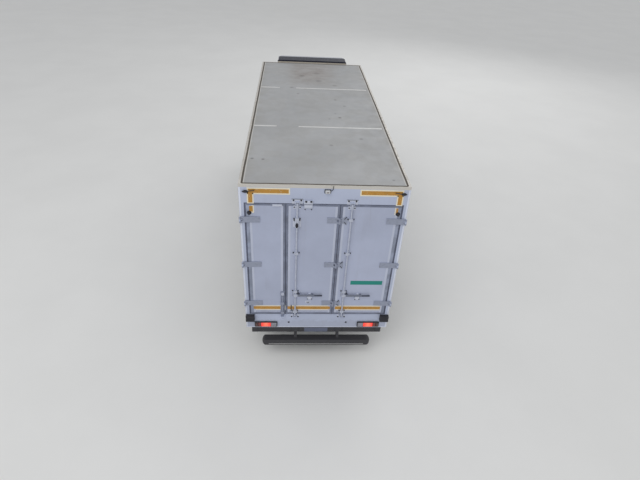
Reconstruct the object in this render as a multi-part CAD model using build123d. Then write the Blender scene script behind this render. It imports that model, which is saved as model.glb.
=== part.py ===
"""Refrigerated truck: tilt cab, ladder chassis, insulated box and a three-leaf rear door.

Millimetres. +Z is up, the front is towards -Y and +X is the truck's left side.
The origin is on the ground, under the middle of the truck's outer size.
"""
from build123d import *
from math import cos, radians, sin, sqrt
import os

# Truck as a whole
TRUCK_LENGTH = 8560
FRONT = -TRUCK_LENGTH / 2

# Insulated box
BOX_WIDTH = 2490
BOX_LENGTH = 6360
ROOF_TOP = 3600
WALL = 80
ROOF_THICK = 95
FRONT_WALL = 100
FLOOR_BOTTOM = 1050
FLOOR_THICK = 100
SKIN_SETBACK = 5
BUFFER_DEPTH = 65
BOX_REAR = TRUCK_LENGTH / 2 - BUFFER_DEPTH
BOX_FRONT = BOX_REAR - BOX_LENGTH
HALF_BOX = BOX_WIDTH / 2
PANEL_X = HALF_BOX - SKIN_SETBACK
INNER_X = PANEL_X - WALL
FLOOR_TOP = FLOOR_BOTTOM + FLOOR_THICK
CEILING = ROOF_TOP - SKIN_SETBACK - ROOF_THICK
FLOOR_GROOVES = 19
GROOVE_PITCH = 110
GROOVE_WIDTH = 30
GROOVE_DEPTH = 18
RAIL_TOP_WIDTH = 62
RAIL_SIDE_HEIGHT = 120
RAIL_THICK = 5

# Rear frame and its three door leaves
FRAME_DEPTH = 120
PANEL_REAR = BOX_REAR - FRAME_DEPTH
POST_WIDTH = 92
HEADER_BOTTOM = 3283
SILL_TOP = 1055
SILL_BOTTOM = 736
STOP_WIDTH = 20
STOP_DEPTH = 24
DOOR_GAP = 6
DOOR_THICK = 90
OPENING_X = HALF_BOX - POST_WIDTH
DOOR_BOTTOM = SILL_TOP + DOOR_GAP
DOOR_TOP = HEADER_BOTTOM - DOOR_GAP
SEAM_LEFT = 566
SEAM_RIGHT = -240
SEAM_HALF_GAP = 7
SEAM_TAPER = 13
PIN_X = HALF_BOX - 2
PIN_OUT = 28
PIN_Y = BOX_REAR + PIN_OUT
HINGE_HEIGHTS = (3006, 2158, 1324)
KNUCKLE_R = 14
PIN_R = 7
STRAP_HEIGHT = 100
STRAP_THICK = 8
KNUCKLE_HALF = 20
ROD_R = 13
ROD_STANDOFF = 25
ROD_LEFT_X = 400
ROD_RIGHT_X = -408
LEVER_Z = 1521
LEVER_LENGTH = 440
CAM_HALF = 15
CAM_CLEAR = 7
LATCH_X = 612

# Wheels
WHEEL_R = 402
TYRE_WIDTH = 226
RIM_SEAT_R = 226
FRONT_AXLE_Y = FRONT + 1170
WHEELBASE = 4860
REAR_AXLE_Y = FRONT_AXLE_Y + WHEELBASE
FRONT_TRACK_X = 980
KINGPIN_X = 860
REAR_TWIN_X = 920
TWIN_OFFSET = 127
SPINDLE_R = 35
AXLE_SPINDLE_R = 45
RUNNING_GAP = 1

# Chassis
RAIL_INNER = 350
RAIL_OUTER = 420
RAIL_BOTTOM = 700
RAIL_TOP = 930
RAIL_WEB = 8
RAIL_FRONT = FRONT + 140
RAIL_REAR = PANEL_REAR - 15
SUBFRAME_MID = 990
BEARERS = 12
BEARER_PITCH = (PANEL_REAR - BOX_FRONT - 200) / (BEARERS - 1)
BEARER_YS = [BOX_FRONT + 120 + BEARER_PITCH * index for index in range(BEARERS)]

# Tilting cab
CAB_LENGTH = 1745
CAB_WIDTH = 2300
CAB_BACK = FRONT + CAB_LENGTH
CAB_BOTTOM = 985
CAB_ROOF = 2450
CAB_WALL = 55
PIVOT_SETBACK = 290
PIVOT_Y = FRONT + PIVOT_SETBACK
PIVOT_Z = 640
CAB_ARC_R = CAB_BOTTOM - PIVOT_Z
BUMPER_ARC_R = CAB_ARC_R - 12
BELT_Z = 1560
TUNNEL_HALF = 400
TUNNEL_TOP = 1320
TUNNEL_WALL = 20
CAB_DOOR_FRONT = -3905
CAB_DOOR_REAR = -2985
CAB_DOOR_BOTTOM = CAB_BOTTOM + CAB_WALL + 5
CAB_DOOR_TOP = 2290
CAB_DOOR_GAP = 8
DOOR_PIN_X = 1166
DOOR_PIN_Y = CAB_DOOR_FRONT
DOOR_PIN_R = 5
DOOR_KNUCKLE_R = 11
DOOR_KNUCKLE_END = 58
DOOR_HINGES = (1190, 1480)
GLASS_THICK = 6
GLASS_DEPTH = 16

os.makedirs("parts", exist_ok=True)


def block(x0, x1, y0, y1, z0, z1):
    """A box between two opposite corners."""
    return Pos((x0 + x1) / 2, (y0 + y1) / 2, (z0 + z1) / 2) * Box(x1 - x0, y1 - y0, z1 - z0)


def outline(points, radius=0):
    """A closed flat outline, its corners rounded by one radius or by a list of them."""
    if radius:
        return make_face(FilletPolyline(*points, radius=radius, close=True))
    return make_face(Polyline(*points, close=True))


def side_prism(points, x0, x1, radius=0):
    """A (y, z) outline that runs across the truck from x0 to x1."""
    plane = Plane(origin=(x0, 0, 0), x_dir=(0, 1, 0), z_dir=(1, 0, 0))
    return extrude(plane * outline(points, radius), amount=x1 - x0, dir=(1, 0, 0))


def front_prism(points, y0, y1, radius=0):
    """An (x, z) outline that runs along the truck from y0 to y1."""
    plane = Plane(origin=(0, y0, 0), x_dir=(1, 0, 0), z_dir=(0, -1, 0))
    return extrude(plane * outline(points, radius), amount=y1 - y0, dir=(0, 1, 0))


def plan_prism(points, z0, z1, radius=0):
    """An (x, y) outline that stands from z0 up to z1."""
    return extrude(Plane.XY.offset(z0) * outline(points, radius), amount=z1 - z0, dir=(0, 0, 1))


def rod(start, end, radius):
    """A round bar between two points."""
    way = Vector(*end) - Vector(*start)
    bar = Cylinder(radius, way.length, align=(Align.CENTER, Align.CENTER, Align.MIN))
    return Plane(origin=start, z_dir=way) * bar


def cross_disc(x0, x1, y, z, radius):
    """A round bar across the truck, from x0 to x1."""
    return rod((x0, y, z), (x1, y, z), radius)


def upright(x, y, z0, z1, radius):
    """A round bar that stands from z0 up to z1."""
    return rod((x, y, z0), (x, y, z1), radius)


def other_side(shape):
    """The same shape on the truck's other side."""
    return mirror(shape, about=Plane.YZ)


def both_sides(shape):
    """A shape and its mirror image."""
    return [shape, other_side(shape)]


def save(name, shapes):
    """Writes one node, its touching solids joined."""
    export_step(Part() + list(shapes), f"parts/{name}.step")


# Wheels: profiles are (axial, radius) from the wheel's middle, +axial towards the outside.
# Round forms are many-sided, with a corner at the bottom, so that they stay light.

TYRE_SIDES = 40
HUB_SIDES = 24
TYRE_PROFILE = [(-80, RIM_SEAT_R), (-TYRE_WIDTH / 2, 318), (-100, 386), (-74, WHEEL_R),
                (74, WHEEL_R), (100, 386), (TYRE_WIDTH / 2, 318), (80, RIM_SEAT_R)]
BARREL_PROFILE = [(-93, 243), (-80, RIM_SEAT_R), (-34, 205), (34, 205), (80, RIM_SEAT_R), (93, 243),
                  (93, 234), (36, 196), (-36, 196), (-93, 234)]
HAND_HOLES = 6
HAND_HOLE_R = 24
HAND_HOLE_PITCH_R = 158
WHEEL_NUTS = 8
FRONT_BORE_R = SPINDLE_R + 3
REAR_BORE_R = AXLE_SPINDLE_R + 3


def ring(profile, sides=TYRE_SIDES):
    """A closed (axial, radius) profile carried round the cross axis in flat facets."""
    faces = []
    for index in range(sides):
        start = radians(360 * index / sides - 90)
        end = radians(360 * (index + 1) / sides - 90)
        for (axial, radius), (next_axial, next_radius) in zip(profile, profile[1:] + profile[:1]):
            corners = [(axial, radius * cos(start), radius * sin(start))]
            if next_radius:
                corners.append((next_axial, next_radius * cos(start), next_radius * sin(start)))
            corners.append((next_axial, next_radius * cos(end), next_radius * sin(end)))
            if radius:
                corners.append((axial, radius * cos(end), radius * sin(end)))
            if len(corners) > 2:
                faces.append(Face(Wire.make_polygon(corners, close=True)))
    return Solid(Shell(faces))


def drum_along(profile, x, y, z):
    """A closed (axial, radius) profile carried round a lengthwise axis, +axial towards the rear."""
    return Pos(x, y, z) * (Rot(0, 0, 90) * ring(profile, HUB_SIDES))


def tyre_at(x, y):
    """One tyre, seated on its rim."""
    return Pos(x, y, WHEEL_R) * ring(TYRE_PROFILE)


def hand_holes():
    """Holes in a ring, to be cut from a disc."""
    holes = []
    for index in range(HAND_HOLES):
        angle = radians(360 / HAND_HOLES * index)
        plane = Plane(origin=(-200, HAND_HOLE_PITCH_R * cos(angle), HAND_HOLE_PITCH_R * sin(angle)),
                      x_dir=(0, 1, 0), z_dir=(1, 0, 0))
        holes.append(extrude(plane * RegularPolygon(HAND_HOLE_R, 12), amount=400, dir=(1, 0, 0)))
    return holes


def wheel_nuts(face, pitch_r, radius=16, length=22):
    """A ring of six-sided wheel nuts on a disc's outer face."""
    nuts = []
    for index in range(WHEEL_NUTS):
        angle = radians(360 / WHEEL_NUTS * (index + 0.5))
        plane = Plane(origin=(face, pitch_r * cos(angle), pitch_r * sin(angle)),
                      x_dir=(0, 1, 0), z_dir=(1, 0, 0))
        nuts.append(extrude(plane * RegularPolygon(radius, 6), amount=length, dir=(1, 0, 0)))
    return nuts


def front_wheel():
    """Tyre and rim of the left front wheel, the hub and drum joined to the rim."""
    disc = ring([(36, 60), (36, 120), (18, 198), (28, 198), (46, 124), (46, 60)])
    hub = ring([(-45, 80), (46, 80), (46, 64), (112, 60), (120, 50), (120, 0), (52, 0),
                (52, FRONT_BORE_R), (-45, FRONT_BORE_R)], HUB_SIDES)
    drum = ring([(-58, 164), (-58, 178), (24, 178), (40, 76), (28, 72), (14, 164)], HUB_SIDES)
    rim = Part() + [ring(BARREL_PROFILE), disc - hand_holes(), hub, drum] + wheel_nuts(44, 98)
    return tyre_at(FRONT_TRACK_X, FRONT_AXLE_Y), Pos(FRONT_TRACK_X, FRONT_AXLE_Y, WHEEL_R) * rim


def rear_wheel():
    """The left rear pair of tyres, and their rims on one hub with its drum."""
    tyres = []
    rims = []
    for sign in (-1, 1):
        x = REAR_TWIN_X + sign * TWIN_OFFSET
        tyres.append(tyre_at(x, REAR_AXLE_Y))
        rims.append(Pos(sign * TWIN_OFFSET, 0, 0) * ring(BARREL_PROFILE))
    disc = ring([(0, 70), (0, 118), (96, 202), (106, 202), (12, 122), (12, 70)]) - hand_holes()
    hub = ring([(-190, 92), (14, 92), (14, 82), (98, 78), (110, 68), (110, 0), (90, 0),
                (90, REAR_BORE_R), (-190, REAR_BORE_R)], HUB_SIDES)
    drum = ring([(-232, 176), (-232, 190), (-92, 190), (-66, 88), (-80, 84), (-100, 176)], HUB_SIDES)
    rims += [disc, mirror(disc, about=Plane.YZ), hub, drum] + wheel_nuts(10, 106)
    return tyres, [Pos(REAR_TWIN_X, REAR_AXLE_Y, WHEEL_R) * (Part() + rims)]


front_tyre, front_rim = front_wheel()
rear_tyres, rear_rims = rear_wheel()
save("tyre_front_left", [front_tyre])
save("tyre_front_right", [other_side(front_tyre)])
save("rim_front_left", [front_rim])
save("rim_front_right", [other_side(front_rim)])
save("tyres_rear_left", rear_tyres)
save("tyres_rear_right", [other_side(tyre) for tyre in rear_tyres])
save("rims_rear_left", rear_rims)
save("rims_rear_right", [other_side(Part() + rear_rims)])

# Steering: knuckles turn on kingpins in the ends of the front beam

KNUCKLE_EYE = 55
KNUCKLE_FORK = 80
KINGPIN_R = 20
TIE_ROD_BACK = 200
TIE_ROD_Z = 290
TIE_ROD_R = 15


def knuckle():
    """Left steering knuckle: fork, kingpin, spindle, brake plate and rearward arm."""
    y = FRONT_AXLE_Y
    z = WHEEL_R
    fork_face = KINGPIN_X + 62
    solids = [upright(KINGPIN_X, y, z - KNUCKLE_FORK - 6, z + KNUCKLE_FORK + 6, KINGPIN_R)]
    for low, high in ((-KNUCKLE_FORK, -KNUCKLE_EYE - 2), (KNUCKLE_EYE + 2, KNUCKLE_FORK)):
        solids.append(upright(KINGPIN_X, y, z + low, z + high, 42))
        solids.append(block(KINGPIN_X, fork_face, y - 42, y + 42, z + low, z + high))
    solids.append(block(fork_face - 14, fork_face, y - 60, y + 60, z - KNUCKLE_FORK, z + KNUCKLE_FORK))
    solids.append(cross_disc(fork_face - 4, fork_face + 4, y, z, 143))
    solids.append(cross_disc(fork_face, FRONT_TRACK_X + 48, y, z, SPINDLE_R))
    arm = [(KINGPIN_X - 30, y), (KINGPIN_X + 40, y), (KINGPIN_X + 22, y + TIE_ROD_BACK),
           (KINGPIN_X - 22, y + TIE_ROD_BACK)]
    arm_top = z - KNUCKLE_EYE - 2
    solids.append(plan_prism(arm, arm_top - 23, arm_top))
    solids.append(upright(KINGPIN_X, y + TIE_ROD_BACK, arm_top - 23, arm_top, 24))
    ball = upright(KINGPIN_X, y + TIE_ROD_BACK, TIE_ROD_Z - 22, arm_top, 9)
    return solids, ball


knuckle_solids, tie_ball = knuckle()
save("knuckle_left", knuckle_solids + [tie_ball])
save("knuckle_right", [other_side(solid) for solid in knuckle_solids])

tie_left = upright(KINGPIN_X, FRONT_AXLE_Y + TIE_ROD_BACK, TIE_ROD_Z - 18, TIE_ROD_Z + 18, 22)
tie_left -= upright(KINGPIN_X, FRONT_AXLE_Y + TIE_ROD_BACK, TIE_ROD_Z - 30, TIE_ROD_Z + 30, 9 + 0.6)
tie_bar = cross_disc(-KINGPIN_X + 15, KINGPIN_X - 15, FRONT_AXLE_Y + TIE_ROD_BACK, TIE_ROD_Z, TIE_ROD_R)
tie_right = upright(-KINGPIN_X, FRONT_AXLE_Y + TIE_ROD_BACK, TIE_ROD_Z - 18, TIE_ROD_Z + 17, 22)
save("tie_rod", [tie_left, tie_bar, tie_right])

# Axles with their leaf springs

LEAF_HALF = 35
SPRING_X = (RAIL_INNER + RAIL_OUTER) / 2
SPRING_RISE = 120
U_BOLT_R = 8
U_BOLT_X = 45
DAMPER_X = 472
DAMPER_TOP = 830
CHAMBER_X = 560
CHAMBER_R = 72
CHAMBER_RISE = 62


def leaf_spring(y, half_length, seat_z, leaves):
    """A stack of leaves, each shorter than the one above, bowed down in the middle."""
    pack = []
    for index in range(leaves):
        half = half_length - index * half_length * 0.16
        drop = SPRING_RISE * (half / half_length) ** 2
        top = seat_z + 14 * (leaves - index)
        upper = [(y - half, top + drop), (y, top), (y + half, top + drop)]
        lower = [(y + half, top + drop - 14), (y, top - 14), (y - half, top + drop - 14)]
        line = [ThreePointArc(*upper), Line(upper[2], lower[0]), ThreePointArc(*lower),
                Line(lower[2], upper[0])]
        plane = Plane(origin=(SPRING_X - LEAF_HALF, 0, 0), x_dir=(0, 1, 0), z_dir=(1, 0, 0))
        pack.append(extrude(plane * make_face(line), amount=2 * LEAF_HALF, dir=(1, 0, 0)))
    for end in (-1, 1):
        pack.append(cross_disc(SPRING_X - LEAF_HALF, SPRING_X + LEAF_HALF, y + end * half_length,
                               seat_z + 14 * leaves + SPRING_RISE - 6, 22))
    return pack


def u_bolts(axle_y, half_gap, low, high):
    """Four legs that clamp a spring to its axle, with a nut on each."""
    legs = []
    for x in (SPRING_X - U_BOLT_X, SPRING_X + U_BOLT_X):
        for y in (axle_y - half_gap, axle_y + half_gap):
            for start, end, radius in ((low, high, U_BOLT_R), (high - 26, high - 10, U_BOLT_R + 6)):
                section = Plane.XY.offset(start) * (Pos(x, y) * RegularPolygon(radius, 6))
                legs.append(extrude(section, amount=end - start, dir=(0, 0, 1)))
    return legs


def damper(low_y, low_z, top_y):
    """Shock absorber from an axle up to its bracket on the rail."""
    low = (DAMPER_X, low_y, low_z)
    top = (DAMPER_X, top_y, DAMPER_TOP)
    middle = (DAMPER_X, low_y * 0.45 + top_y * 0.55, low_z * 0.45 + DAMPER_TOP * 0.55)
    return [rod(low, middle, 30), rod(middle, top, 20), cross_disc(DAMPER_X - 26, DAMPER_X + 26, low_y, low_z, 24),
            cross_disc(RAIL_OUTER, DAMPER_X + 24, top_y, DAMPER_TOP, 18)]


def brake_chamber(y, z):
    """Round brake chamber behind the rear axle tube, on its bracket."""
    back = z + CHAMBER_RISE
    profile = [(95, 0), (95, CHAMBER_R - 14), (112, CHAMBER_R), (175, CHAMBER_R), (175, CHAMBER_R + 8),
               (187, CHAMBER_R + 8), (187, CHAMBER_R - 6), (280, CHAMBER_R - 6), (300, CHAMBER_R - 30), (300, 0)]
    return [drum_along(profile, CHAMBER_X, y, back),
            side_prism([(y + 10, z + 20), (y + 96, z - 5), (y + 96, back + 40), (y + 10, z + 60)],
                       CHAMBER_X - 34, CHAMBER_X + 34)]


def front_axle():
    """Forged beam that drops between its kingpin eyes, with springs, clamps and dampers."""
    z = WHEEL_R
    half = [(0, 240), (520, 240), (KINGPIN_X - 130, z - KNUCKLE_EYE), (KINGPIN_X, z - KNUCKLE_EYE),
            (KINGPIN_X, z + KNUCKLE_EYE), (KINGPIN_X - 120, z + KNUCKLE_EYE - 15), (500, 325), (0, 325)]
    beam = front_prism(half, FRONT_AXLE_Y - 40, FRONT_AXLE_Y + 40)
    web = front_prism([(10, 262), (505, 262), (700, 368), (690, 410), (505, 303), (10, 303)],
                      FRONT_AXLE_Y - 60, FRONT_AXLE_Y - 18)
    beam -= [web, mirror(web, about=Plane.XZ.offset(-FRONT_AXLE_Y))]
    beam += upright(KINGPIN_X, FRONT_AXLE_Y, z - KNUCKLE_EYE, z + KNUCKLE_EYE, 44)
    beam -= upright(KINGPIN_X, FRONT_AXLE_Y, z - 100, z + 100, KINGPIN_R + 0.6)
    seat = block(SPRING_X - 50, SPRING_X + 50, FRONT_AXLE_Y - 80, FRONT_AXLE_Y + 80, 320, 352)
    spring = leaf_spring(FRONT_AXLE_Y, 640, 350, 5)
    clamp = block(SPRING_X - 50, SPRING_X + 50, FRONT_AXLE_Y - 75, FRONT_AXLE_Y + 75, 405, 440)
    bolts = u_bolts(FRONT_AXLE_Y, 58, 316, 462)
    arm = block(SPRING_X + 20, DAMPER_X + 20, FRONT_AXLE_Y + 30, FRONT_AXLE_Y + 80, 322, 350)
    one_side = Part() + [beam, seat, clamp, arm] + spring + bolts
    one_side += damper(FRONT_AXLE_Y + 55, 336, FRONT_AXLE_Y + 130)
    return both_sides(one_side)


def rear_axle():
    """Banjo housing with tubes, spindles, springs, clamps, dampers and brake chambers."""
    z = WHEEL_R
    tube = cross_disc(0, REAR_TWIN_X - 196, REAR_AXLE_Y, z, 62)
    spindle = cross_disc(600, REAR_TWIN_X + 70, REAR_AXLE_Y, z, AXLE_SPINDLE_R)
    plate = cross_disc(REAR_TWIN_X - 226, REAR_TWIN_X - 214, REAR_AXLE_Y, z, 153)
    seat = block(SPRING_X - 50, SPRING_X + 50, REAR_AXLE_Y - 90, REAR_AXLE_Y + 90, z + 30, z + 72)
    spring = leaf_spring(REAR_AXLE_Y, 700, z + 68, 6)
    clamp = block(SPRING_X - 50, SPRING_X + 50, REAR_AXLE_Y - 85, REAR_AXLE_Y + 85, z + 140, z + 170)
    foot = block(SPRING_X - 50, SPRING_X + 50, REAR_AXLE_Y - 90, REAR_AXLE_Y + 90, z - 76, z - 56)
    bolts = u_bolts(REAR_AXLE_Y, 76, z - 90, z + 192)
    one_side = Part() + [tube, spindle, plate, seat, clamp, foot] + spring + bolts
    one_side += damper(REAR_AXLE_Y - 48, z, REAR_AXLE_Y - 190) + brake_chamber(REAR_AXLE_Y, z)
    bowl = [(-70, 0), (-70, 120), (-55, 160), (-20, 185), (20, 185), (55, 160), (70, 120), (70, 0)]
    middle = Pos(0, REAR_AXLE_Y, z) * revolve(outline(bowl), axis=Axis.X)
    nose = rod((0, REAR_AXLE_Y - 150, z), (0, REAR_AXLE_Y - 330, z + 10), 70)
    return both_sides(one_side) + [middle, nose]


save("front_axle", front_axle())
save("rear_axle", rear_axle())

# Chassis frame: two channel rails, cross members, hangers and cab supports

CROSS_MEMBERS = (-4090, -2150, -1500, -500, 500, 1250, 2250, 3000, RAIL_REAR - 60)
HANGERS = ((FRONT_AXLE_Y, 640, 350 + 70), (REAR_AXLE_Y, 700, WHEEL_R + 68 + 84))
PIVOT_PIN_R = 24
PIVOT_ARM_X = (452, 512)


def chassis_rails():
    """Two channel rails with the box sills on them, spring hangers and cab pivots."""
    channel = [(RAIL_INNER, RAIL_BOTTOM), (RAIL_OUTER, RAIL_BOTTOM), (RAIL_OUTER, RAIL_TOP),
               (RAIL_INNER, RAIL_TOP), (RAIL_INNER, RAIL_TOP - RAIL_WEB),
               (RAIL_OUTER - RAIL_WEB, RAIL_TOP - RAIL_WEB), (RAIL_OUTER - RAIL_WEB, RAIL_BOTTOM + RAIL_WEB),
               (RAIL_INNER, RAIL_BOTTOM + RAIL_WEB)]
    rail = front_prism(channel, RAIL_FRONT, RAIL_REAR)
    sill = block(RAIL_INNER, RAIL_OUTER, BOX_FRONT + 60, PANEL_REAR, RAIL_TOP, SUBFRAME_MID)
    solids = [rail, sill]
    for axle_y, half, eye_z in HANGERS:
        for end in (-1, 1):
            y = axle_y + end * half
            top = eye_z + SPRING_RISE - 6
            hanger = side_prism([(y - 70, RAIL_BOTTOM + 30), (y - 34, top - 34), (y + 34, top - 34),
                                 (y + 70, RAIL_BOTTOM + 30)], RAIL_OUTER + 2, RAIL_OUTER + 14)
            inner = block(RAIL_OUTER - RAIL_WEB, RAIL_OUTER + 14, y - 60, y + 60,
                          RAIL_BOTTOM + 10, RAIL_BOTTOM + 60)
            pin = cross_disc(SPRING_X + LEAF_HALF, RAIL_OUTER + 14, y, top, 14)
            solids += [hanger, inner, pin]
    bracket = side_prism([(PIVOT_Y - 55, 760), (PIVOT_Y - 40, PIVOT_Z - 40), (PIVOT_Y + 40, PIVOT_Z - 40),
                          (PIVOT_Y + 70, 760)], RAIL_OUTER - RAIL_WEB, RAIL_OUTER + 16)
    pin = cross_disc(RAIL_OUTER, PIVOT_ARM_X[1] + 14, PIVOT_Y, PIVOT_Z, PIVOT_PIN_R)
    cap = cross_disc(PIVOT_ARM_X[1] + 5, PIVOT_ARM_X[1] + 14, PIVOT_Y, PIVOT_Z, PIVOT_PIN_R + 16)
    solids += [bracket, pin, cap]
    return both_sides(Part() + solids)


def cross_members():
    """Channels between the rails, and the beam that the cab rests on."""
    beams = []
    for y in CROSS_MEMBERS:
        beam = block(-RAIL_OUTER + RAIL_WEB, RAIL_OUTER - RAIL_WEB, y - 35, y + 35, 730, 900)
        beams.append(beam - block(-RAIL_OUTER, RAIL_OUTER, y - 27, y + 50, 738, 892))
    return beams + [block(-470, 470, -2660, -2600, RAIL_TOP, 972)]


save("chassis_frame", chassis_rails())
save("cross_members", cross_members())

engine = [block(-310, 310, -3760, -2880, 560, 1150), block(-200, 200, -3700, -2950, 455, 560)]
gearbox = side_prism([(-2880, 500), (-2880, 985), (-2760, 915), (-2250, 860), (-2250, 560)], -190, 190)
save("engine_block", engine + [gearbox])

radiator = block(-330, 330, -4050, -3940, 560, 950)
save("radiator", [radiator])

SHAFT_JOINT = (0, -540, 600)
propshaft = [rod((0, -2244, 665), SHAFT_JOINT, 45), rod(SHAFT_JOINT, (0, REAR_AXLE_Y - 334, 414), 45)]
save("propshaft", propshaft)


def fuel_tank():
    """Rounded tank on the right side, its straps and the brackets from the rail."""
    outer = [(-1040, 430), (-560, 430), (-560, 880), (-1040, 880)]
    tank = front_prism(outer, -2000, -1000, radius=70)
    cap = upright(-960, -1150, 870, 905, 45)
    solids = [tank, cap]
    for y in (-1800, -1200):
        strap = front_prism([(-1048, 422), (-552, 422), (-552, 888), (-1048, 888)], y - 25, y + 25, radius=76)
        solids += [strap, block(-560, -RAIL_OUTER, y - 30, y + 30, 720, 800)]
    return solids


save("fuel_tank", fuel_tank())

AIR_TANK_X = -700
AIR_TANK_Z = 650
AIR_TANK_R = 118
# front end, rear end
AIR_TANKS = ((-800, -250), (-170, 400))


def air_tanks():
    """Two air reservoirs with domed ends on the right side, hung from arms on the rail."""
    solids = []
    for front, rear in AIR_TANKS:
        dome = [(0, AIR_TANK_R - 60), (16, AIR_TANK_R - 24), (44, AIR_TANK_R)]
        profile = [(front, 0)] + [(front + deep, radius) for deep, radius in dome]
        profile += [(rear - deep, radius) for deep, radius in reversed(dome)] + [(rear, 0)]
        solids.append(drum_along(profile, AIR_TANK_X, 0, AIR_TANK_Z))
        for y in (front + 130, rear - 130):
            band_profile = [(y - 18, 0), (y - 18, AIR_TANK_R + 5), (y + 18, AIR_TANK_R + 5), (y + 18, 0)]
            band = drum_along(band_profile, AIR_TANK_X, 0, AIR_TANK_Z)
            arm = block(AIR_TANK_X, -RAIL_OUTER, y - 18, y + 18, AIR_TANK_Z + 75, AIR_TANK_Z + 140)
            solids += [band, arm]
    return solids


save("air_tanks", air_tanks())

battery = [block(500, 1060, -1900, -1400, 480, 860), block(490, 1070, -1910, -1390, 800, 880),
           block(RAIL_OUTER, 510, -1880, -1820, 740, 820), block(RAIL_OUTER, 510, -1480, -1420, 740, 820)]
save("battery_box", battery)

exhaust = [front_prism([(520, 470), (980, 470), (980, 800), (520, 800)], -1150, -350, radius=90),
           rod((700, -350, 560), (700, 300, 560), 45), rod((700, 300, 560), (1000, 520, 500), 45),
           block(RAIL_OUTER, 530, -1000, -950, 720, 780), block(RAIL_OUTER, 530, -560, -510, 720, 780)]
save("silencer", exhaust)

# Front bumper with its side steps, and the lamps in it

BUMPER_SETBACK = 12
BUMPER_BOTTOM = 310
BUMPER_HALF = 1140
STEP_REAR = FRONT_AXLE_Y - 545
LAMP_BAND = (560, 730)


def lower_front(inset):
    """Outer form of the bumper and steps, drawn in by inset. Its top keeps clear of the tilting cab."""
    half = BUMPER_HALF - inset
    nose = FRONT + BUMPER_SETBACK + inset
    plan = [(-half, STEP_REAR + inset), (-half, nose + 250), (-half + 170, nose), (half - 170, nose),
            (half, nose + 250), (half, STEP_REAR + inset)]
    body = plan_prism(plan, BUMPER_BOTTOM + inset, 1000, radius=[0, 150, 150, 150, 150, 0])
    keep = Pos(0, PIVOT_Y, PIVOT_Z) * (Rot(0, 90, 0) * Cylinder(BUMPER_ARC_R - inset, 2400))
    behind = block(-1200, 1200, PIVOT_Y, STEP_REAR + 10, 200, PIVOT_Z + BUMPER_ARC_R - inset)
    below = block(-1200, 1200, FRONT, PIVOT_Y, 200, PIVOT_Z)
    return body & (Part() + [keep, behind, below])


def front_bumper():
    """Hollow bumper with an air slot, lamp recesses and two cut-in steps on each side."""
    shell = lower_front(0) - lower_front(30)
    shell -= block(-760, 760, FRONT + 120, STEP_REAR + 50, 200, 1100)
    shell -= block(-520, 520, FRONT - 50, FRONT + 200, 400, 520)
    for side in (-1, 1):
        low, high = sorted((side * 690, side * 1200))
        shell -= block(low, high, FRONT - 50, FRONT + 230, *LAMP_BAND)
        low, high = sorted((side * 940, side * 1200))
        for step_low, step_high in ((360, 600), (690, 900)):
            shell -= block(low, high, -3960, -3700, step_low, step_high)
    for step_low in (360, 690):
        tread = block(940, BUMPER_HALF - 20, -3960, -3700, step_low - 18, step_low)
        wall = block(928, 940, -3972, -3688, step_low - 18, step_low + 250)
        front = block(928, BUMPER_HALF - 12, -3972, -3960, step_low - 18, step_low + 250)
        rear = block(928, BUMPER_HALF - 12, -3700, -3688, step_low - 18, step_low + 250)
        shell += both_sides(Part() + [tread, wall, front, rear])
    shell += [block(-780, 780, FRONT + 100, FRONT + 130, 560, 700)]
    for side in (-1, 1):
        low, high = sorted((side * RAIL_OUTER, side * (RAIL_OUTER - RAIL_WEB)))
        shell += block(low, high, FRONT + 100, RAIL_FRONT + 60, 640, RAIL_BOTTOM)
        low, high = sorted((side * 560, side * 640))
        shell += block(low, high, FRONT + 30, FRONT + 110, 560, 700)
    return shell


save("front_bumper", [front_bumper()])
lamp_form = lower_front(2) - lower_front(60)
headlamp = lamp_form & block(690, 1200, FRONT - 50, FRONT + 228, LAMP_BAND[0] + 2, LAMP_BAND[1] - 2)
save("headlamps", both_sides(headlamp))

# Side guards and rear wheel guards

GUARD_X = 1160
SIDE_RAILS = (450, 640, 830)
# side, front end, rear end
GUARD_SPANS = ((1, -1340, 1190), (-1, -940, 1190))


def side_guards():
    """Flat rails between the wheels, on posts that hang from the box's cross bearers."""
    solids = []
    for side, front, rear in GUARD_SPANS:
        low, high = sorted((side * (GUARD_X - 22), side * GUARD_X))
        for z in SIDE_RAILS:
            solids.append(block(low, high, front, rear, z - 45, z + 45))
        for y in BEARER_YS:
            if not front < y < rear:
                continue
            post_low, post_high = sorted((side * (GUARD_X - 52), side * (GUARD_X - 20)))
            solids.append(block(post_low, post_high, y - 22, y + 22, SIDE_RAILS[0] - 45, SUBFRAME_MID))
    return solids


save("side_guards", side_guards())

MUDGUARD_R = 470
MUDGUARD_THICK = 5


def ring_sector(y, z, radius, thick, x0, x1, start, end, steps=10):
    """A curved guard: part of a ring about a cross axis, between two angles from +Y."""
    middle = (start + end) / 2
    outer = radius + thick

    def at(r, angle):
        return (y + r * cos(radians(angle)), z + r * sin(radians(angle)))

    line = [ThreePointArc(at(outer, start), at(outer, middle), at(outer, end)),
            Line(at(outer, end), at(radius, end)),
            ThreePointArc(at(radius, end), at(radius, middle), at(radius, start)),
            Line(at(radius, start), at(outer, start))]
    plane = Plane(origin=(x0, 0, 0), x_dir=(0, 1, 0), z_dir=(1, 0, 0))
    return extrude(plane * make_face(line), amount=x1 - x0, dir=(1, 0, 0))


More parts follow.
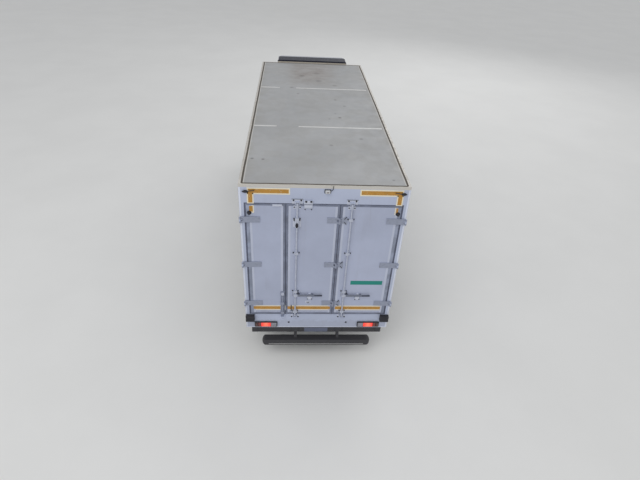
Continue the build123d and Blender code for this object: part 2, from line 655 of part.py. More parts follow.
def rear_mudguards():
    """Guards over the rear wheels, their flaps and the tubes that carry them."""
    guard = ring_sector(REAR_AXLE_Y, WHEEL_R, MUDGUARD_R, MUDGUARD_THICK, 672, 1168, 5, 175)
    solids = [guard]
    for angle in (50, 130):
        y = REAR_AXLE_Y + (MUDGUARD_R + 14) * cos(radians(angle))
        z = WHEEL_R + (MUDGUARD_R + 14) * sin(radians(angle))
        solids.append(cross_disc(RAIL_OUTER, 1140, y, z, 17))
    y = REAR_AXLE_Y + MUDGUARD_R + 1
    solids.append(block(690, 1150, y + 20, y + 28, 150, 560))
    solids.append(block(690, 1150, y - 40, y + 28, 540, 570))
    return both_sides(Part() + solids)


save("rear_mudguards", rear_mudguards())

# Rear underrun bar and the dark cross beam below the sill

UNDERRUN_REAR = BOX_REAR + 50
UNDERRUN_FRONT = UNDERRUN_REAR - 130
UNDERRUN_HALF = 975
UNDERRUN_BAND = (330, 460)


def underrun():
    """Closed bar, its ends rounded in plan and from behind, on two hangers."""
    low, high = UNDERRUN_BAND
    bar = front_prism([(-UNDERRUN_HALF, low), (UNDERRUN_HALF, low), (UNDERRUN_HALF, high), (-UNDERRUN_HALF, high)],
                      UNDERRUN_FRONT, UNDERRUN_REAR, radius=62)
    bar &= plan_prism([(-UNDERRUN_HALF, UNDERRUN_FRONT), (UNDERRUN_HALF, UNDERRUN_FRONT),
                       (UNDERRUN_HALF, UNDERRUN_REAR), (-UNDERRUN_HALF, UNDERRUN_REAR)],
                      low - 10, high + 10, radius=60)
    hangers = []
    for side in (-1, 1):
        low, high = sorted((side * 355, side * 405))
        hangers.append(side_prism([(UNDERRUN_REAR - 125, 400), (UNDERRUN_REAR - 60, 455),
                                   (RAIL_REAR - 20, RAIL_BOTTOM), (RAIL_REAR - 180, RAIL_BOTTOM)],
                                  low, high))
    return [bar] + hangers


save("underrun_bar", underrun())
save("rear_cross_beam", [block(-1150, 1150, BOX_REAR - 95, BOX_REAR - 5, 612, 728),
                         block(-340, 340, RAIL_REAR - 60, BOX_REAR - 60, 640, 728)])

# Insulated box


def box_floor():
    """Floor slab with lengthwise air grooves, on cross bearers and two long sills."""
    slab = block(-INNER_X, INNER_X, BOX_FRONT + FRONT_WALL, PANEL_REAR, FLOOR_BOTTOM, FLOOR_TOP)
    grooves = []
    for index in range(FLOOR_GROOVES):
        x = (index - (FLOOR_GROOVES - 1) / 2) * GROOVE_PITCH
        grooves.append(block(x - GROOVE_WIDTH / 2, x + GROOVE_WIDTH / 2, BOX_FRONT, BOX_REAR,
                             FLOOR_TOP - GROOVE_DEPTH, FLOOR_TOP + 10))
    return slab - grooves


def box_subframe():
    """Cross bearers between the sills and the floor."""
    return [block(-PANEL_X + 50, PANEL_X - 50, y - 30, y + 30, SUBFRAME_MID, FLOOR_BOTTOM) for y in BEARER_YS]


def edge_rails():
    """Aluminium angles along the box's top, bottom and front edges."""
    corner = [(HALF_BOX - RAIL_TOP_WIDTH, ROOF_TOP), (HALF_BOX, ROOF_TOP), (HALF_BOX, ROOF_TOP - RAIL_SIDE_HEIGHT),
              (PANEL_X, ROOF_TOP - RAIL_SIDE_HEIGHT), (PANEL_X, ROOF_TOP - RAIL_THICK),
              (HALF_BOX - RAIL_TOP_WIDTH, ROOF_TOP - RAIL_THICK)]
    front_face = BOX_FRONT - RAIL_THICK
    top = front_prism(corner, front_face, PANEL_REAR, radius=[0, 9, 0, 0, 0, 0])
    foot = [(PANEL_X - 45, FLOOR_BOTTOM - 70), (HALF_BOX, FLOOR_BOTTOM - 70), (HALF_BOX, FLOOR_BOTTOM + 60),
            (PANEL_X, FLOOR_BOTTOM + 60), (PANEL_X, FLOOR_BOTTOM), (PANEL_X - 45, FLOOR_BOTTOM)]
    bottom = front_prism(foot, front_face, PANEL_REAR)
    stand = [(PANEL_X - 60, front_face), (HALF_BOX, front_face), (HALF_BOX, BOX_FRONT + 60),
             (PANEL_X, BOX_FRONT + 60), (PANEL_X, BOX_FRONT), (PANEL_X - 60, BOX_FRONT)]
    post = plan_prism(stand, FLOOR_BOTTOM - 70, ROOF_TOP - 2, radius=[0, 9, 0, 0, 0, 0])
    sides = both_sides(Part() + [top, bottom, post])
    across_top = block(-HALF_BOX + 20, HALF_BOX - 20, front_face, BOX_FRONT, ROOF_TOP - RAIL_SIDE_HEIGHT, ROOF_TOP)
    lip = block(-HALF_BOX + 20, HALF_BOX - 20, front_face, BOX_FRONT + RAIL_TOP_WIDTH, ROOF_TOP - RAIL_THICK, ROOF_TOP)
    across_foot = block(-HALF_BOX + 20, HALF_BOX - 20, front_face, BOX_FRONT, FLOOR_BOTTOM - 70, FLOOR_BOTTOM + 60)
    return sides + [across_top, lip, across_foot]


save("box_floor", [box_floor()])
save("box_subframe", box_subframe())
side_wall = block(INNER_X, PANEL_X, BOX_FRONT + FRONT_WALL, PANEL_REAR, FLOOR_BOTTOM, CEILING)
save("box_side_walls", both_sides(side_wall))
save("box_front_wall", [block(-PANEL_X, PANEL_X, BOX_FRONT, BOX_FRONT + FRONT_WALL, FLOOR_BOTTOM, CEILING)])
save("box_roof", [block(-PANEL_X, PANEL_X, BOX_FRONT, PANEL_REAR, CEILING, ROOF_TOP - RAIL_THICK)])
save("edge_rails", edge_rails())


def keeper(x, z, up):
    """Fork that holds a lock rod's cam, open to the rear. up is 1 at the header and -1 at the sill."""
    half = CAM_HALF + CAM_CLEAR
    low, high = sorted((z, z + up * 46))
    cheek = block(x + half, x + half + 10, BOX_REAR - 1, BOX_REAR + 38, low, high)
    other = block(x - half - 10, x - half, BOX_REAR - 1, BOX_REAR + 38, low, high)
    low, high = sorted((z + up * 34, z + up * 46))
    bar = block(x - half - 10, x + half + 10, BOX_REAR - 1, BOX_REAR + 38, low, high)
    return [cheek, other, bar]


def hinge_pin(x, z):
    """The fixed middle knuckle of a strap hinge, with its pin."""
    return [upright(x, PIN_Y, z - KNUCKLE_HALF, z + KNUCKLE_HALF, KNUCKLE_R),
            upright(x, PIN_Y, z - STRAP_HEIGHT / 2 - 4, z + STRAP_HEIGHT / 2 + 4, PIN_R)]


def rear_frame():
    """Portal with posts, header, sill, door stops, fixed knuckles and cam keepers."""
    portal = block(-HALF_BOX, HALF_BOX, PANEL_REAR, BOX_REAR, SILL_BOTTOM, ROOF_TOP)
    portal -= block(-OPENING_X, OPENING_X, PANEL_REAR + STOP_DEPTH, BOX_REAR + 10, SILL_TOP, HEADER_BOTTOM)
    portal -= block(-OPENING_X + STOP_WIDTH, OPENING_X - STOP_WIDTH, PANEL_REAR - 10, BOX_REAR,
                    FLOOR_TOP, HEADER_BOTTOM - STOP_WIDTH)
    solids = [portal]
    for z in HINGE_HEIGHTS:
        foot = block(PIN_X - KNUCKLE_R, HALF_BOX, BOX_REAR - 1, PIN_Y, z - KNUCKLE_HALF, z + KNUCKLE_HALF)
        solids += both_sides(Part() + [foot] + hinge_pin(PIN_X, z))
    for x in (ROD_LEFT_X, ROD_RIGHT_X):
        solids += keeper(x, HEADER_BOTTOM + 5, 1) + keeper(x, SILL_TOP - 3, -1)
    solids += keeper(LATCH_X, SILL_TOP - 3, -1)
    return solids


def leaf(x_left, x_right, taper_left, taper_right):
    """One door leaf from x_right up to x_left, its free edges drawn in towards the inside."""
    plan = [(x_right, BOX_REAR), (x_left, BOX_REAR), (x_left - taper_left, BOX_REAR - DOOR_THICK),
            (x_right + taper_right, BOX_REAR - DOOR_THICK)]
    return plan_prism(plan, DOOR_BOTTOM, DOOR_TOP)


def strap(pin_x, tip_x, z):
    """Hinge strap from its tip on the leaf to two knuckles about the pin."""
    way = 1 if pin_x > tip_x else -1
    edge = pin_x - way * 38
    plate = [(tip_x, BOX_REAR), (pin_x - way * 103, BOX_REAR), (pin_x - way * 92, BOX_REAR + 7),
             (edge, BOX_REAR + 9), (edge, BOX_REAR + 18), (pin_x - way * 94, BOX_REAR + 15),
             (tip_x, BOX_REAR + STRAP_THICK)]
    arm = [(edge - way, BOX_REAR + 9), (pin_x - way * 2, BOX_REAR + 11), (pin_x - way * 2, BOX_REAR + PIN_OUT),
           (edge - way, BOX_REAR + 18)]
    half = STRAP_HEIGHT / 2
    solids = [plan_prism(plate, z - half, z + half)]
    for low, high in ((z - half, z - KNUCKLE_HALF - 1), (z + KNUCKLE_HALF + 1, z + half)):
        solids.append(plan_prism(arm, low, high))
        solids.append(upright(pin_x, PIN_Y, low, high, KNUCKLE_R))
    bore = upright(pin_x, PIN_Y, z - 100, z + 100, PIN_R + 0.5)
    return [(Part() + solids) - bore]


def lock_rod(x):
    """Lock rod with guides, end cams and its folded lever, which lies towards -X."""
    y = BOX_REAR + ROD_STANDOFF
    low = SILL_TOP - 24
    high = HEADER_BOTTOM + 26
    solids = [upright(x, y, low + 10, high - 10, ROD_R)]
    for cam_low in (low, high - 40):
        solids.append(block(x - CAM_HALF, x + CAM_HALF, BOX_REAR + 8, BOX_REAR + 34, cam_low, cam_low + 40))
    for z in (3030, 2395, 1600, 1150):
        solids.append(block(x - 32, x + 32, BOX_REAR, BOX_REAR + 40, z - 22, z + 22))
    hub = block(x - 24, x + 24, BOX_REAR + 4, BOX_REAR + 46, LEVER_Z - 26, LEVER_Z + 26)
    lever = front_prism([(x - LEVER_LENGTH, LEVER_Z - 14), (x, LEVER_Z - 20), (x, LEVER_Z + 20),
                         (x - LEVER_LENGTH, LEVER_Z + 14)], BOX_REAR + 30, BOX_REAR + 42)
    seat = block(x - 300, x - 220, BOX_REAR, BOX_REAR + 30, LEVER_Z - 30, LEVER_Z + 18)
    return solids + [hub, lever, seat]


left_edge = OPENING_X - DOOR_GAP
leaf_left = leaf(left_edge, SEAM_LEFT + SEAM_HALF_GAP, 0, SEAM_TAPER)
leaf_centre = leaf(SEAM_LEFT - SEAM_HALF_GAP, SEAM_RIGHT + SEAM_HALF_GAP, SEAM_TAPER, 0)
leaf_right = leaf(SEAM_RIGHT - SEAM_HALF_GAP, -left_edge, 0, 0)
save("rear_frame", rear_frame())
save("rear_door_left", [leaf_left])
save("rear_door_center", [leaf_centre])
save("rear_door_right", [leaf_right])

SIDE_STRAP_TIP = 948
CENTRE_STRAP_TIP = -52
FIXED_PLATE_TIP = -355

left_hardware = []
right_hardware = lock_rod(ROD_RIGHT_X)
centre_hardware = lock_rod(ROD_LEFT_X)
for height in HINGE_HEIGHTS:
    left_hardware += strap(PIN_X, SIDE_STRAP_TIP, height)
    right_hardware += strap(-PIN_X, -SIDE_STRAP_TIP, height)
    half = STRAP_HEIGHT / 2
    centre_strap = [block(SEAM_RIGHT + 38, CENTRE_STRAP_TIP, BOX_REAR, BOX_REAR + STRAP_THICK,
                          height - half, height + half)]
    for low, high in ((height - half, height - KNUCKLE_HALF - 1), (height + KNUCKLE_HALF + 1, height + half)):
        arm = [(SEAM_RIGHT + 2, BOX_REAR + 11), (SEAM_RIGHT + 39, BOX_REAR), (SEAM_RIGHT + 39, BOX_REAR + 8),
               (SEAM_RIGHT + 2, BOX_REAR + PIN_OUT)]
        centre_strap.append(plan_prism(arm, low, high))
        centre_strap.append(upright(SEAM_RIGHT, PIN_Y, low, high, KNUCKLE_R))
    bore = upright(SEAM_RIGHT, PIN_Y, height - 100, height + 100, PIN_R + 0.5)
    centre_hardware.append((Part() + centre_strap) - bore)
    fixed = block(FIXED_PLATE_TIP, SEAM_RIGHT - 12, BOX_REAR, BOX_REAR + STRAP_THICK, height - half, height + half)
    foot = [(SEAM_RIGHT - 40, BOX_REAR), (SEAM_RIGHT - 9, BOX_REAR), (SEAM_RIGHT, BOX_REAR + 16),
            (SEAM_RIGHT, PIN_Y), (SEAM_RIGHT - 14, PIN_Y)]
    right_hardware += [fixed, plan_prism(foot, height - KNUCKLE_HALF, height + KNUCKLE_HALF)]
    right_hardware += hinge_pin(SEAM_RIGHT, height)

bolt = upright(LATCH_X, BOX_REAR + 18, SILL_TOP - 22, 1570, 10)
latch = [bolt]
for z in (1110, 1330, 1540):
    latch.append(block(LATCH_X - 24, LATCH_X + 24, BOX_REAR, BOX_REAR + 32, z - 25, z + 25))
save("rear_door_left_hardware", left_hardware + latch)
save("rear_door_center_hardware", centre_hardware)
save("rear_door_right_hardware", right_hardware)

buffer = block(1092, 1242, BOX_REAR, BOX_REAR + BUFFER_DEPTH, 928, 1050)
save("dock_bumpers", both_sides(buffer))
lamp = front_prism([(703, 765), (1097, 765), (1097, 885), (703, 885)], BOX_REAR, BOX_REAR + 34, radius=40)
save("tail_lamps", both_sides(lamp))


def marker_lamps():
    """Small side marker lamps along the box's foot rails."""
    lamps = []
    for y in (-1900, -300, 1300, 2900):
        lamps.append(block(HALF_BOX, HALF_BOX + 14, y - 30, y + 30, FLOOR_BOTTOM - 45, FLOOR_BOTTOM - 5))
    return both_sides(Part() + lamps)


save("marker_lamps", marker_lamps())

# Refrigeration: the unit over the cab and the evaporator inside

UNIT_DEPTH = 500
UNIT_BOTTOM = 2750
UNIT_TOP = ROOF_TOP + 60
UNIT_FACE = BOX_FRONT - RAIL_THICK


def fridge_unit():
    """Casing with rounded corners and an air inlet, on a flange that meets the front wall."""
    plan = [(-850, UNIT_FACE), (-850, UNIT_FACE - 300), (-740, UNIT_FACE - UNIT_DEPTH),
            (740, UNIT_FACE - UNIT_DEPTH), (850, UNIT_FACE - 300), (850, UNIT_FACE)]
    casing = plan_prism(plan, UNIT_BOTTOM - 20, UNIT_TOP + 20, radius=[0, 120, 110, 110, 120, 0])
    side = [(UNIT_FACE + 20, UNIT_BOTTOM), (UNIT_FACE + 20, UNIT_TOP), (UNIT_FACE - UNIT_DEPTH, UNIT_TOP),
            (UNIT_FACE - UNIT_DEPTH, UNIT_BOTTOM)]
    casing = casing & side_prism(side, -900, 900, radius=[0, 0, 90, 60])
    inlet = block(-560, 560, UNIT_FACE - UNIT_DEPTH - 20, UNIT_FACE - UNIT_DEPTH + 60, 2900, 3360)
    casing -= inlet
    slats = []
    for index in range(7):
        z = 2930 + index * 66
        slats.append(block(-565, 565, UNIT_FACE - UNIT_DEPTH + 20, UNIT_FACE - UNIT_DEPTH + 64, z, z + 26))
    flange = front_prism([(-872, UNIT_BOTTOM - 12), (872, UNIT_BOTTOM - 12), (872, UNIT_TOP), (-872, UNIT_TOP)],
                         UNIT_FACE - 16, UNIT_FACE, radius=40)
    return [casing + slats + flange]


save("fridge_unit", fridge_unit())
EVAPORATOR_BACK = BOX_FRONT + FRONT_WALL
FAN_XS = (-430, 0, 430)
FAN_R = 118
evaporator = side_prism([(EVAPORATOR_BACK, CEILING), (EVAPORATOR_BACK, CEILING - 330),
                         (EVAPORATOR_BACK + 120, CEILING - 330), (EVAPORATOR_BACK + 420, CEILING - 170),
                         (EVAPORATOR_BACK + 420, CEILING)], -700, 700)
for fan_x in FAN_XS:
    fan_middle = (fan_x, EVAPORATOR_BACK + 270, CEILING - 250)
    evaporator -= Plane(origin=fan_middle, z_dir=(0, 160, -300)) * Cylinder(FAN_R, 90)
save("evaporator", [evaporator])

# Tilting cab


def cab_form(inset):
    """The cab's outer form, drawn in by inset: three outlines that bound one another."""
    arc = [(FRONT, PIVOT_Z + sqrt(CAB_ARC_R ** 2 - PIVOT_SETBACK ** 2)),
           (PIVOT_Y - CAB_ARC_R * sin(radians(28)), PIVOT_Z + CAB_ARC_R * cos(radians(28))),
           (PIVOT_Y, CAB_BOTTOM)]
    line = [Line(arc[0], (FRONT, 1180)), Line((FRONT, 1180), (FRONT + 25, BELT_Z)),
            Line((FRONT + 25, BELT_Z), (FRONT + 220, 2310)),
            ThreePointArc((FRONT + 220, 2310), (FRONT + 262, 2402), (FRONT + 360, 2440)),
            Line((FRONT + 360, 2440), (CAB_BACK - 60, CAB_ROOF)),
            ThreePointArc((CAB_BACK - 60, CAB_ROOF), (CAB_BACK - 18, CAB_ROOF - 18), (CAB_BACK, CAB_ROOF - 60)),
            Line((CAB_BACK, CAB_ROOF - 60), (CAB_BACK, CAB_BOTTOM)),
            Line((CAB_BACK, CAB_BOTTOM), arc[2]), ThreePointArc(arc[2], arc[1], arc[0])]
    half = CAB_WIDTH / 2
    face = [(-half, 780), (-half, BELT_Z), (-half + 95, CAB_ROOF), (half - 95, CAB_ROOF), (half, BELT_Z), (half, 780)]
    plan = [(-half, CAB_BACK), (-half, FRONT + 330), (-half + 230, FRONT), (half - 230, FRONT),
            (half, FRONT + 330), (half, CAB_BACK)]
    side_sketch = make_face(line)
    face_sketch = outline(face, [0, 400, 150, 150, 400, 0])
    plan_sketch = outline(plan, [60, 220, 220, 220, 220, 60])
    if inset:
        side_sketch = offset(side_sketch, amount=-inset, kind=Kind.INTERSECTION)
        face_sketch = offset(face_sketch, amount=-inset, kind=Kind.INTERSECTION)
        plan_sketch = offset(plan_sketch, amount=-inset, kind=Kind.INTERSECTION)
    side_plane = Plane(origin=(-half - 50, 0, 0), x_dir=(0, 1, 0), z_dir=(1, 0, 0))
    face_plane = Plane(origin=(0, FRONT - 50, 0), x_dir=(1, 0, 0), z_dir=(0, -1, 0))
    body = extrude(side_plane * side_sketch, amount=CAB_WIDTH + 100, dir=(1, 0, 0))
    body &= extrude(face_plane * face_sketch, amount=CAB_LENGTH + 100, dir=(0, 1, 0))
    body &= extrude(Plane.XY.offset(700) * plan_sketch, amount=1900, dir=(0, 0, 1))
    if inset:
        body &= block(-half, half, FRONT, CAB_BACK, CAB_BOTTOM + inset, CAB_ROOF)
    return body


cab_outer = cab_form(0)
cab_inner = cab_form(CAB_WALL)
glass_outer = cab_form(GLASS_DEPTH)
glass_inner = cab_form(GLASS_DEPTH + GLASS_THICK)
glass_skin = glass_outer - glass_inner

DOOR_SHAPE = [(CAB_DOOR_FRONT, CAB_DOOR_BOTTOM), (CAB_DOOR_FRONT, 1600), (CAB_DOOR_FRONT + 178, CAB_DOOR_TOP),
              (CAB_DOOR_REAR, CAB_DOOR_TOP), (CAB_DOOR_REAR, CAB_DOOR_BOTTOM)]
DOOR_RADII = [60, 0, 60, 60, 60]
WINDOW_SHAPE = [(CAB_DOOR_FRONT + 90, 1620), (CAB_DOOR_FRONT + 232, 2215), (CAB_DOOR_REAR - 75, 2215),
                (CAB_DOOR_REAR - 75, 1560), (CAB_DOOR_FRONT + 330, 1560)]
WINDOW_RADII = [30, 50, 50, 50, 90]
WINDSCREEN = [(-1010, 1610), (-905, 2270), (905, 2270), (1010, 1610)]
REAR_WINDOW = [(-420, 1750), (-420, 2150), (420, 2150), (420, 1750)]


def door_prism(gap):
    """The doorway's prism on the left side, drawn in by gap."""
    sketch = outline(DOOR_SHAPE, DOOR_RADII)
    if gap:
        sketch = offset(sketch, amount=-gap)
    plane = Plane(origin=(900, 0, 0), x_dir=(0, 1, 0), z_dir=(1, 0, 0))
    return extrude(plane * sketch, amount=300, dir=(1, 0, 0))


doorway = door_prism(0)
window = side_prism(WINDOW_SHAPE, 900, 1200, radius=WINDOW_RADII)
screen = front_prism(WINDSCREEN, FRONT - 20, -3900, radius=60)
back_light = front_prism(REAR_WINDOW, CAB_BACK - 100, CAB_BACK + 50, radius=60)
GRILLE_HALF = 600
GRILLE_BAND = (930, 1330)
GRILLE_DEPTH = 30


def fixed_hinge(z):
    """The left door pillar's knuckle with its pin."""
    foot = [(1128, DOOR_PIN_Y - 45), (1142, DOOR_PIN_Y - 45), (DOOR_PIN_X + 2, DOOR_PIN_Y - 7),
            (DOOR_PIN_X, DOOR_PIN_Y), (DOOR_PIN_X - 8, DOOR_PIN_Y), (1136, DOOR_PIN_Y - 8)]
    return [plan_prism(foot, z - KNUCKLE_HALF, z + KNUCKLE_HALF),
            upright(DOOR_PIN_X, DOOR_PIN_Y, z - KNUCKLE_HALF, z + KNUCKLE_HALF, DOOR_KNUCKLE_R),
            upright(DOOR_PIN_X, DOOR_PIN_Y, z - DOOR_KNUCKLE_END - 4, z + DOOR_KNUCKLE_END + 4, DOOR_PIN_R)]


def door_hinge(z):
    """The left cab door's two knuckles on their arms."""
    arm = [(1144, DOOR_PIN_Y + 12), (1144, DOOR_PIN_Y + 62), (1156, DOOR_PIN_Y + 62),
           (DOOR_PIN_X + 2, DOOR_PIN_Y + 10), (DOOR_PIN_X, DOOR_PIN_Y), (DOOR_PIN_X - 8, DOOR_PIN_Y)]
    solids = []
    for low, high in ((z - DOOR_KNUCKLE_END, z - KNUCKLE_HALF - 1), (z + KNUCKLE_HALF + 1, z + DOOR_KNUCKLE_END)):
        solids += [plan_prism(arm, low, high), upright(DOOR_PIN_X, DOOR_PIN_Y, low, high, DOOR_KNUCKLE_R)]
    return (Part() + solids) - upright(DOOR_PIN_X, DOOR_PIN_Y, z - 100, z + 100, DOOR_PIN_R + 0.5)


def cab_shell():
    """Hollow cab with its doorways, windows, engine tunnel, tilt arms and wheel guards, in three nodes."""
    tunnel = block(-TUNNEL_HALF, TUNNEL_HALF, -3900, CAB_BACK + 10, 900, TUNNEL_TOP)
    passage = block(-TUNNEL_HALF + TUNNEL_WALL, TUNNEL_HALF - TUNNEL_WALL, -3900 + TUNNEL_WALL,
                    CAB_BACK + 10, 900, TUNNEL_TOP - TUNNEL_WALL)
    shell = cab_outer - (cab_inner - tunnel) - passage
    shell -= [doorway, other_side(doorway), screen, back_light]
    shell -= block(-GRILLE_HALF, GRILLE_HALF, FRONT - 10, FRONT + GRILLE_DEPTH, *GRILLE_BAND)
    arm = [(PIVOT_Y - 42, PIVOT_Z), (PIVOT_Y + 100, CAB_BOTTOM + 10), (PIVOT_Y + 330, CAB_BOTTOM + 10),
           (PIVOT_Y + 42, PIVOT_Z)]
    low, high = PIVOT_ARM_X
    arms = side_prism(arm, low, high) + cross_disc(low, high, PIVOT_Y, PIVOT_Z, 44)
    arms -= cross_disc(low - 10, high + 10, PIVOT_Y, PIVOT_Z, PIVOT_PIN_R + RUNNING_GAP)
    guard = ring_sector(FRONT_AXLE_Y, WHEEL_R, 520, 6, 860, 1148, -8, 130)
    hanger = block(900, 1130, FRONT_AXLE_Y - 60, FRONT_AXLE_Y + 60, WHEEL_R + 512, CAB_BOTTOM + 5)
    below = block(-1200, 1200, FRONT - 10, CAB_BACK + 20, 700, CAB_DOOR_BOTTOM)
    below += block(-TUNNEL_HALF, TUNNEL_HALF, -3900, CAB_BACK - CAB_WALL, CAB_DOOR_BOTTOM, TUNNEL_TOP)
    behind = block(-1200, 1200, CAB_BACK - CAB_WALL, CAB_BACK + 20, CAB_DOOR_BOTTOM, CAB_ROOF + 10)
    floor = [shell & below] + both_sides(arms) + both_sides(guard + hanger)
    hinges = []
    for z in DOOR_HINGES:
        hinges += both_sides(Part() + fixed_hinge(z))
    return floor, shell & behind, [shell - below - behind] + hinges


def grille():
    """Frame and slats set into the front panel."""
    front = FRONT + 6
    back = FRONT + GRILLE_DEPTH
    low, high = GRILLE_BAND
    frame = block(-GRILLE_HALF, GRILLE_HALF, front, back, low, high)
    frame -= block(-GRILLE_HALF + 25, GRILLE_HALF - 25, front - 5, back - 8, low + 25, high - 25)
    count = 5
    pitch = (high - low - 50) / (count + 1)
    for index in range(count):
        z = low + 25 + pitch * (index + 1)
        frame += side_prism([(front, z - 12), (front, z + 8), (back - 6, z + 18), (back - 6, z - 4)],
                            -GRILLE_HALF + 20, GRILLE_HALF - 20)
    return frame


door_space = door_prism(CAB_DOOR_GAP)
cab_wall = cab_outer - cab_inner
door_left = (cab_wall & door_space) - window
for hinge_z in DOOR_HINGES:
    door_left += door_hinge(hinge_z)
door_glass = glass_skin & window
cab_floor, cab_back, cab_front = cab_shell()
save("cab_floor", cab_floor)
save("cab_back_wall", [cab_back])
save("cab_shell", cab_front)
save("cab_door_left", [door_left])
save("cab_door_right", [other_side(door_left)])
save("cab_door_glass_left", [door_glass])
save("cab_door_glass_right", [other_side(door_glass)])
save("cab_glass", [glass_skin & screen, glass_skin & back_light])
save("grille", [grille()])

DRIVER_X = -600


def dashboard():
    """Dash across the cab, and the steering column and wheel on the right side."""
    dash = side_prism([(-4230, 1180), (-4230, 1560), (-4060, 1600), (-3880, 1540), (-3860, 1380), (-4020, 1180)],
                      -1090, 1090, radius=[0, 40, 60, 60, 40, 40])
    dash = dash & cab_form(CAB_WALL + 2)
    hub = (DRIVER_X, -3700, 1640)
    column = rod((DRIVER_X, -3960, 1400), hub, 38)
    tilt = Plane(origin=hub, z_dir=(0, 260, 240))
    rim_section = [(190, 0), (198, -14), (212, -14), (220, 0), (212, 14), (198, 14)]
    ring = revolve(Plane.XZ * outline(rim_section), axis=Axis.Z)
    wheel = tilt * ring
    spokes = []
    for angle in (90, 210, 330):
        tip = tilt * Pos(200 * cos(radians(angle)), 200 * sin(radians(angle)), 0)
        spokes.append(rod(hub, tuple(tip.position), 12))
    return dash, (Part() + [column, wheel] + spokes) - dash


dash_form, steering_wheel = dashboard()
save("dashboard", [dash_form])
save("steering_wheel", [steering_wheel])


def seat(x, width, floor_z):
    """Seat with a raked back and a base."""
    cushion = side_prism([(-3480, 1370), (-3480, 1490), (-2980, 1460), (-2980, 1350)], x - width / 2,
                         x + width / 2, radius=40)
    back = side_prism([(-3010, 1400), (-3095, 1440), (-2920, 2130), (-2830, 2110)], x - width / 2,
                      x + width / 2, radius=40)
    base = block(x - width / 2 + 50, x + width / 2 - 50, -3400, -3020, floor_z, 1380)
    return [cushion, back, base]


floor_top = CAB_BOTTOM + CAB_WALL
save("seats", seat(DRIVER_X, 480, floor_top) + seat(600, 480, floor_top) + seat(0, 460, TUNNEL_TOP))


def mirrors():
    """A tall mirror with arms on each front pillar."""
    head = plan_prism([(1215, -4110), (1395, -4080), (1395, -4030), (1215, -4060)], 1560, 1980, radius=18)
    top_arm = rod((1080, -4010, 2060), (1240, -4075, 2010), 13)
    low_arm = rod((1120, -4040, 1480), (1240, -4075, 1530), 13)
    stem = rod((1240, -4075, 1516), (1240, -4075, 2024), 15)
    return both_sides((Part() + [head, top_arm, low_arm, stem]) - cab_outer)


save("mirrors", mirrors())
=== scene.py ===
"""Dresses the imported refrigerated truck: its finishes, trim, tyres, seats and lamps, and a plain studio around it.

Metres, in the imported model's own frame: +Z is up, the front is towards -Y and +X is the truck's left side.
"""

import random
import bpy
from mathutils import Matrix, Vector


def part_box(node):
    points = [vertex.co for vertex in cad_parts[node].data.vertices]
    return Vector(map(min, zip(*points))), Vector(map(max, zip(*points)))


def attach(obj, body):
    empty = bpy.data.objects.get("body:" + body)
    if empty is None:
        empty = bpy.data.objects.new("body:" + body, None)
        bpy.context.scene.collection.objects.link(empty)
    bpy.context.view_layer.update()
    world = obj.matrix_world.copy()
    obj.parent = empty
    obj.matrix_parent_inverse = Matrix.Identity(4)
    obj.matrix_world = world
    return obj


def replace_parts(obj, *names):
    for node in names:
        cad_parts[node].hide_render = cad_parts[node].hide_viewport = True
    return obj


bl_info = {
    "name": "Refrigerated Truck Dressing",
    "version": (1, 0, 0),
    "blender": (4, 5, 0),
    "location": "View3D > Sidebar > Truck",
    "description": "Adds trim, tyres, lamps, seats and finishes to a packed refrigerated truck",
    "category": "Object",
}

from math import atan2, cos, pi, radians, sin

import bmesh
import bpy
from bpy.props import FloatProperty, FloatVectorProperty, IntProperty, PointerProperty
from mathutils import Matrix, Vector
from mathutils.bvhtree import BVHTree

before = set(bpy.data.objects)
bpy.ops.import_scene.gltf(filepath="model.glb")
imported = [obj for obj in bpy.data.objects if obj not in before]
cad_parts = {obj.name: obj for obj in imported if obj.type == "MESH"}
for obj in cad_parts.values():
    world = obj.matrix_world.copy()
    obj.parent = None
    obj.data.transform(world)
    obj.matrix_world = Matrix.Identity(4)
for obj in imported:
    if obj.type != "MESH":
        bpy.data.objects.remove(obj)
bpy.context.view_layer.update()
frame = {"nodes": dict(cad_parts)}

LEFT, RIGHT = 1, -1
SIDES = (("left", LEFT), ("right", RIGHT))


def srgb(red, green, blue):
    """A colour read from a screen, as the linear values that Blender mixes."""
    return tuple((c / 255 / 12.92) if c < 11 else ((c / 255 + 0.055) / 1.055) ** 2.4 for c in (red, green, blue))


def edge(node, axis, end):
    """Where a CAD node begins (end 0) or stops (end 1) along one axis, in metres."""
    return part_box(node)[end]["xyz".index(axis)]


# Where the truck's main parts are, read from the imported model

ROOF_TOP = edge("edge_rails", "z", 1)
BOX_FRONT = edge("box_front_wall", "y", 0)
BOX_SIDE = edge("edge_rails", "x", 1)
FRAME_BACK = edge("box_roof", "y", 1)
DOOR_FACE = edge("rear_door_left", "y", 1)
DOOR_TOP = edge("rear_door_left", "z", 1)
DOOR_BOTTOM = edge("rear_door_left", "z", 0)
SILL_BOTTOM = edge("rear_frame", "z", 0)
DOOR_GAP = 0.006
SILL_TOP = DOOR_BOTTOM - DOOR_GAP
HEADER_BOTTOM = DOOR_TOP + DOOR_GAP
FLOOR_TOP = edge("box_floor", "z", 1)
CEILING = edge("box_roof", "z", 0)
INNER_X = edge("box_floor", "x", 1)
WHEEL_RADIUS = (edge("tyre_front_left", "z", 1) - edge("tyre_front_left", "z", 0)) / 2
FRONT_AXLE = (edge("tyre_front_left", "y", 0) + edge("tyre_front_left", "y", 1)) / 2
REAR_AXLE = (edge("tyres_rear_left", "y", 0) + edge("tyres_rear_left", "y", 1)) / 2

# Heights of the hinges, lock-rod guides and levers, the rods' and latch's places across, and the cab's levels

